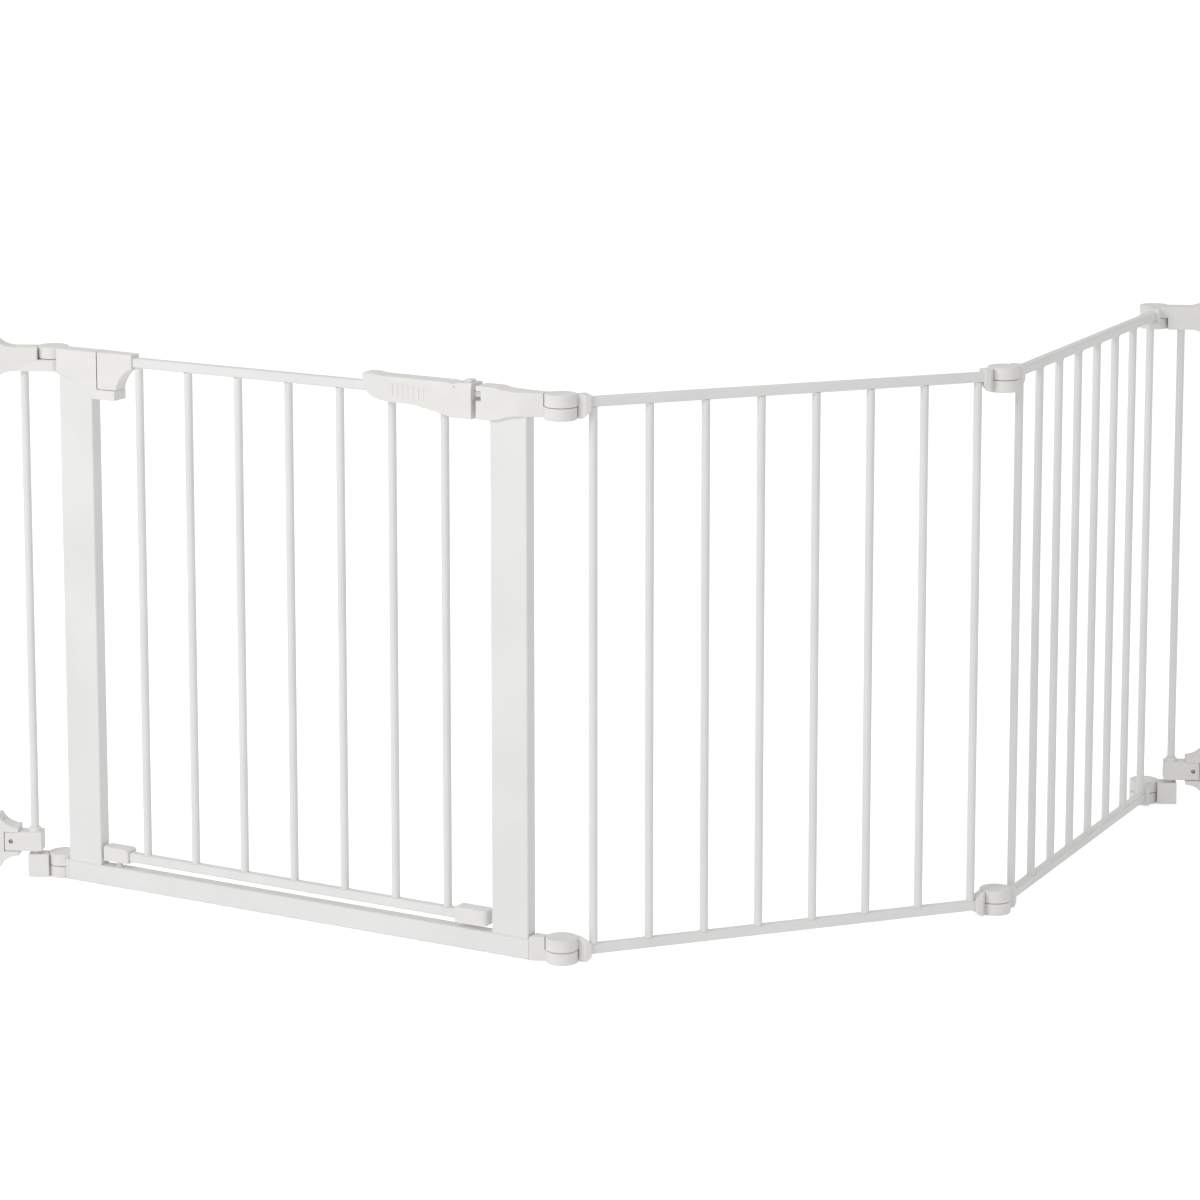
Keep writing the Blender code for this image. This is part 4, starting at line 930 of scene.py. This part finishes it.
def upper_arm(name, side, upper):
    """The fishtail arm from a hinge to the wall; side is 1 where the wall is to its right."""
    centre = TOP_KNUCKLE_Z + KNUCKLE_HEIGHT / 2.0
    front, back = MID - ARM_HALF_DEPTH, MID + ARM_HALF_DEPTH
    plan = [(0.004, back), (0.004, FRONT_NECK_Y), (EDGE_X, FRONT_NECK_Y), (EDGE_X, front), (ARM_SPAN, front),
            (ARM_SPAN, back)]
    top, bottom = flare(0.0500, 0.0840, KNUCKLE_HEIGHT / 2.0 - 0.0003, 0.0360, centre)
    elevation = [(0.003, top[0][1])] + top + bottom[::-1] + [(0.003, bottom[0][1])]
    body = crossed(flipped(plan, side), flipped(elevation, side))
    cover_low = centre + DISC_GAP / 2.0 + FIT if upper else bottom[0][1]
    cover_high = top[0][1] if upper else centre - DISC_GAP / 2.0 - FIT
    ends = sorted((side * -0.0038, side * (EDGE_X + 0.002)))
    worked(body, [("UNION", box((ends[0], front, cover_low), (ends[1], -0.0100, cover_high)))])
    knuckled(softened(body, 0.0007), TOP_KNUCKLE_Z, upper)
    low, high = TOP_KNUCKLE_Z - 0.005, TOP_KNUCKLE_Z + 0.013
    cuts = [("DIFFERENCE", plug(BAR_RADIUS + SNUG, low, high, (side * ARM_BAR_X, MID), sides=32))]
    cuts += [("DIFFERENCE", screw_hole(centre + sign * 0.0330, side)) for sign in (-1, 1)]
    worked(body, cuts)
    rider = f"{name}_wall_arm"
    piece(f"{name}_upper_arm_moulding", body, ARM[name], rider, PLASTIC, (f"{name}_upper_arm",))


def lower_link(name, side, upper):
    """The floor knuckle of a wall arm, which holds the foot of the upright bar."""
    half, end = 0.0115, 0.0465
    plan = [(0.004, MID + half), (0.004, FRONT_NECK_Y), (EDGE_X, FRONT_NECK_Y), (EDGE_X, MID - half),
            (end, MID - half), (end, MID + half)]
    body = softened(solid(extruded(flipped(plan, side), 0.001, KNUCKLE_HEIGHT - 0.0005)), 0.0008)
    knuckled(body, 0.0, upper)
    hole = plug(BAR_RADIUS + SNUG, KNUCKLE_HEIGHT - 0.015, 0.04, (side * ARM_BAR_X, MID), sides=32)
    worked(body, [("DIFFERENCE", hole)])
    rider = f"{name}_wall_arm"
    piece(f"{name}_lower_link_moulding", body, ARM[name], rider, PLASTIC, (f"{name}_lower_link",))


def clamp_block(name, side):
    """The block on the upright bar, with its collar, and the screw that clamps it."""
    half = BLOCK_HALF_DEPTH
    ends = sorted((side * 0.0270, side * BLOCK_END))
    body = softened(solid(box((ends[0], MID - half, BLOCK_LOW), (ends[1], MID + half, BLOCK_HIGH))), 0.0012)
    bar_centre = (side * ARM_BAR_X, MID)
    collar = [(0.0, BLOCK_HIGH - 0.001), (0.0100, BLOCK_HIGH - 0.001), (0.0098, BLOCK_HIGH + 0.0006),
              (0.0088, BLOCK_HIGH + 0.0030), (0.0074, BLOCK_HIGH + 0.0052), (0.0068, BLOCK_HIGH + 0.0055),
              (0.0, BLOCK_HIGH + 0.0055)]
    middle = (BLOCK_LOW + BLOCK_HIGH) / 2.0
    face = MID - half
    screw = [(0.0, face - 0.002), (0.0032, face - 0.002), (0.0032, face + 0.003), (0.0016, face + 0.003),
             (0.0016, MID + half + 0.002), (0.0, MID + half + 0.002)]
    screw_x = side * 0.0700
    worked(body, [("UNION", turned(collar, 48, bar_centre)),
                  ("DIFFERENCE", plug(BAR_RADIUS + SNUG, 0.030, 0.075, bar_centre, sides=32)),
                  ("DIFFERENCE", turned(screw, 28, (screw_x, middle), "Y"))])
    rider = f"{name}_wall_arm"
    piece(f"{name}_clamp_moulding", body, ARM[name], rider, PLASTIC, (f"{name}_clamp_block",))
    pan_screw(f"{name}_clamp_screw", ARM[name], rider, (screw_x, face + 0.0029, middle), 0.0028)


def wall_bracket(name, side):
    """The lower fishtail, screwed to the wall, with a channel for the clamp block."""
    front, back = MID - ARM_HALF_DEPTH, MID + ARM_HALF_DEPTH + 0.003
    middle = (BLOCK_LOW + BLOCK_HIGH) / 2.0
    plan = [(CUP_START, back), (CUP_START, front), (ARM_SPAN, front), (ARM_SPAN, back)]
    top, bottom = flare(CUP_START, 0.0860, 0.0200, 0.0300, middle)
    start = CUP_START - 0.001
    elevation = [(start, top[0][1])] + top[1:] + bottom[1:][::-1] + [(start, bottom[0][1])]
    body = softened(crossed(flipped(plan, side), flipped(elevation, side)), 0.0010)
    ends = sorted((side * (CUP_START - 0.003), side * (BLOCK_END + FIT)))
    channel = box((ends[0], front - 0.003, BLOCK_LOW - FIT),
                  (ends[1], MID + BLOCK_HALF_DEPTH + FIT, BLOCK_HIGH + FIT))
    cuts = [("DIFFERENCE", channel)]
    cuts += [("DIFFERENCE", screw_hole(middle + sign * 0.0290, side)) for sign in (-1, 1)]
    worked(body, cuts)
    rider = f"{name}_wall_arm"
    piece(f"{name}_bracket_moulding", body, ARM[name], rider, PLASTIC, (f"{name}_wall_bracket",))


def wall_arm(name, side, upper):
    """Everything from a hinge to the wall; upper says which of its discs sits on top."""
    upper_arm(name, side, upper)
    low, high = 0.0183, TOP_KNUCKLE_Z + 0.0127
    bar(f"{name}_arm_upright", ARM[name], f"{name}_wall_arm", side * ARM_BAR_X, low, high,
        node=f"{name}_arm_bar", welds=(False, False))
    lower_link(name, side, upper)
    clamp_block(name, side)
    wall_bracket(name, side)


# ---------------------------------------------------------------- studio
def seen_and_lit(nodes, links, lit, seen):
    """A strength that is lit for the light on the object and seen where the stage itself shows."""
    path = nodes.new("ShaderNodeLightPath")
    return spread(nodes, links, path.outputs["Is Camera Ray"], lit, seen)


def stage_floor():
    floor = solid(extruded(circle(12.0, 96), -0.02, 0.0))
    floor.name = "floor"
    made, nodes, links, shader = shader_material("pale studio floor")
    place = nodes.new("ShaderNodeTexCoord").outputs["Object"]
    tone = noise(nodes, links, place, 1.5, 2.0)
    colour = ramp(nodes, links, tone, 0.3, 0.7, (0.90, 0.90, 0.90), (0.92, 0.92, 0.92))
    links.new(colour, shader.inputs["Base Color"])
    shader.inputs["Roughness"].default_value = 0.9
    shader.inputs["Specular IOR Level"].default_value = 0.0
    shader.inputs["Emission Color"].default_value = (1.0, 1.0, 1.0, 1.0)
    links.new(seen_and_lit(nodes, links, 0.16, 0.50), shader.inputs["Emission Strength"])
    floor.data.materials.append(made)


def stage_world():
    world = bpy.data.worlds.new("studio")
    bpy.context.scene.world = world
    world.use_nodes = True
    nodes, links = world.node_tree.nodes, world.node_tree.links
    background = nodes["Background"]
    links.new(seen_and_lit(nodes, links, 0.60, 1.05), background.inputs["Strength"])
    background.inputs["Color"].default_value = (1.0, 1.0, 1.0, 1.0)


def area_light(name, place, power, size):
    """A square light that points at the middle of the gate."""
    light = bpy.data.lights.new(name, "AREA")
    light.energy = power
    light.size = size
    made = bpy.data.objects.new(name, light)
    bpy.context.scene.collection.objects.link(made)
    made.location = place
    aim = Vector((0.0, 0.0, 0.35)) - Vector(place)
    made.rotation_euler = aim.to_track_quat("-Z", "Y").to_euler()


def camera():
    lens = bpy.data.cameras.new("camera")
    lens.sensor_width = 36.0
    lens.lens = 117.907
    lens.shift_y = -0.2
    made = bpy.data.objects.new("camera", lens)
    bpy.context.scene.collection.objects.link(made)
    made.location = (0.34277, -5.23435, 1.55710)
    made.rotation_euler = (math.radians(90.0 - 9.1174), 0.0, math.radians(3.9564))
    bpy.context.scene.camera = made


door_frame()
door()
latch()
spring()
panel("panel_1")
panel("panel_2")
wall_arm("left", -1, False)
wall_arm("right", 1, True)

stage_floor()
stage_world()
area_light("key", (-3.2, -3.6, 3.4), 95.0, 2.4)
area_light("top", (0.4, 0.6, 4.2), 13.0, 3.0)
bpy.context.scene.view_settings.view_transform = "Standard"
camera()
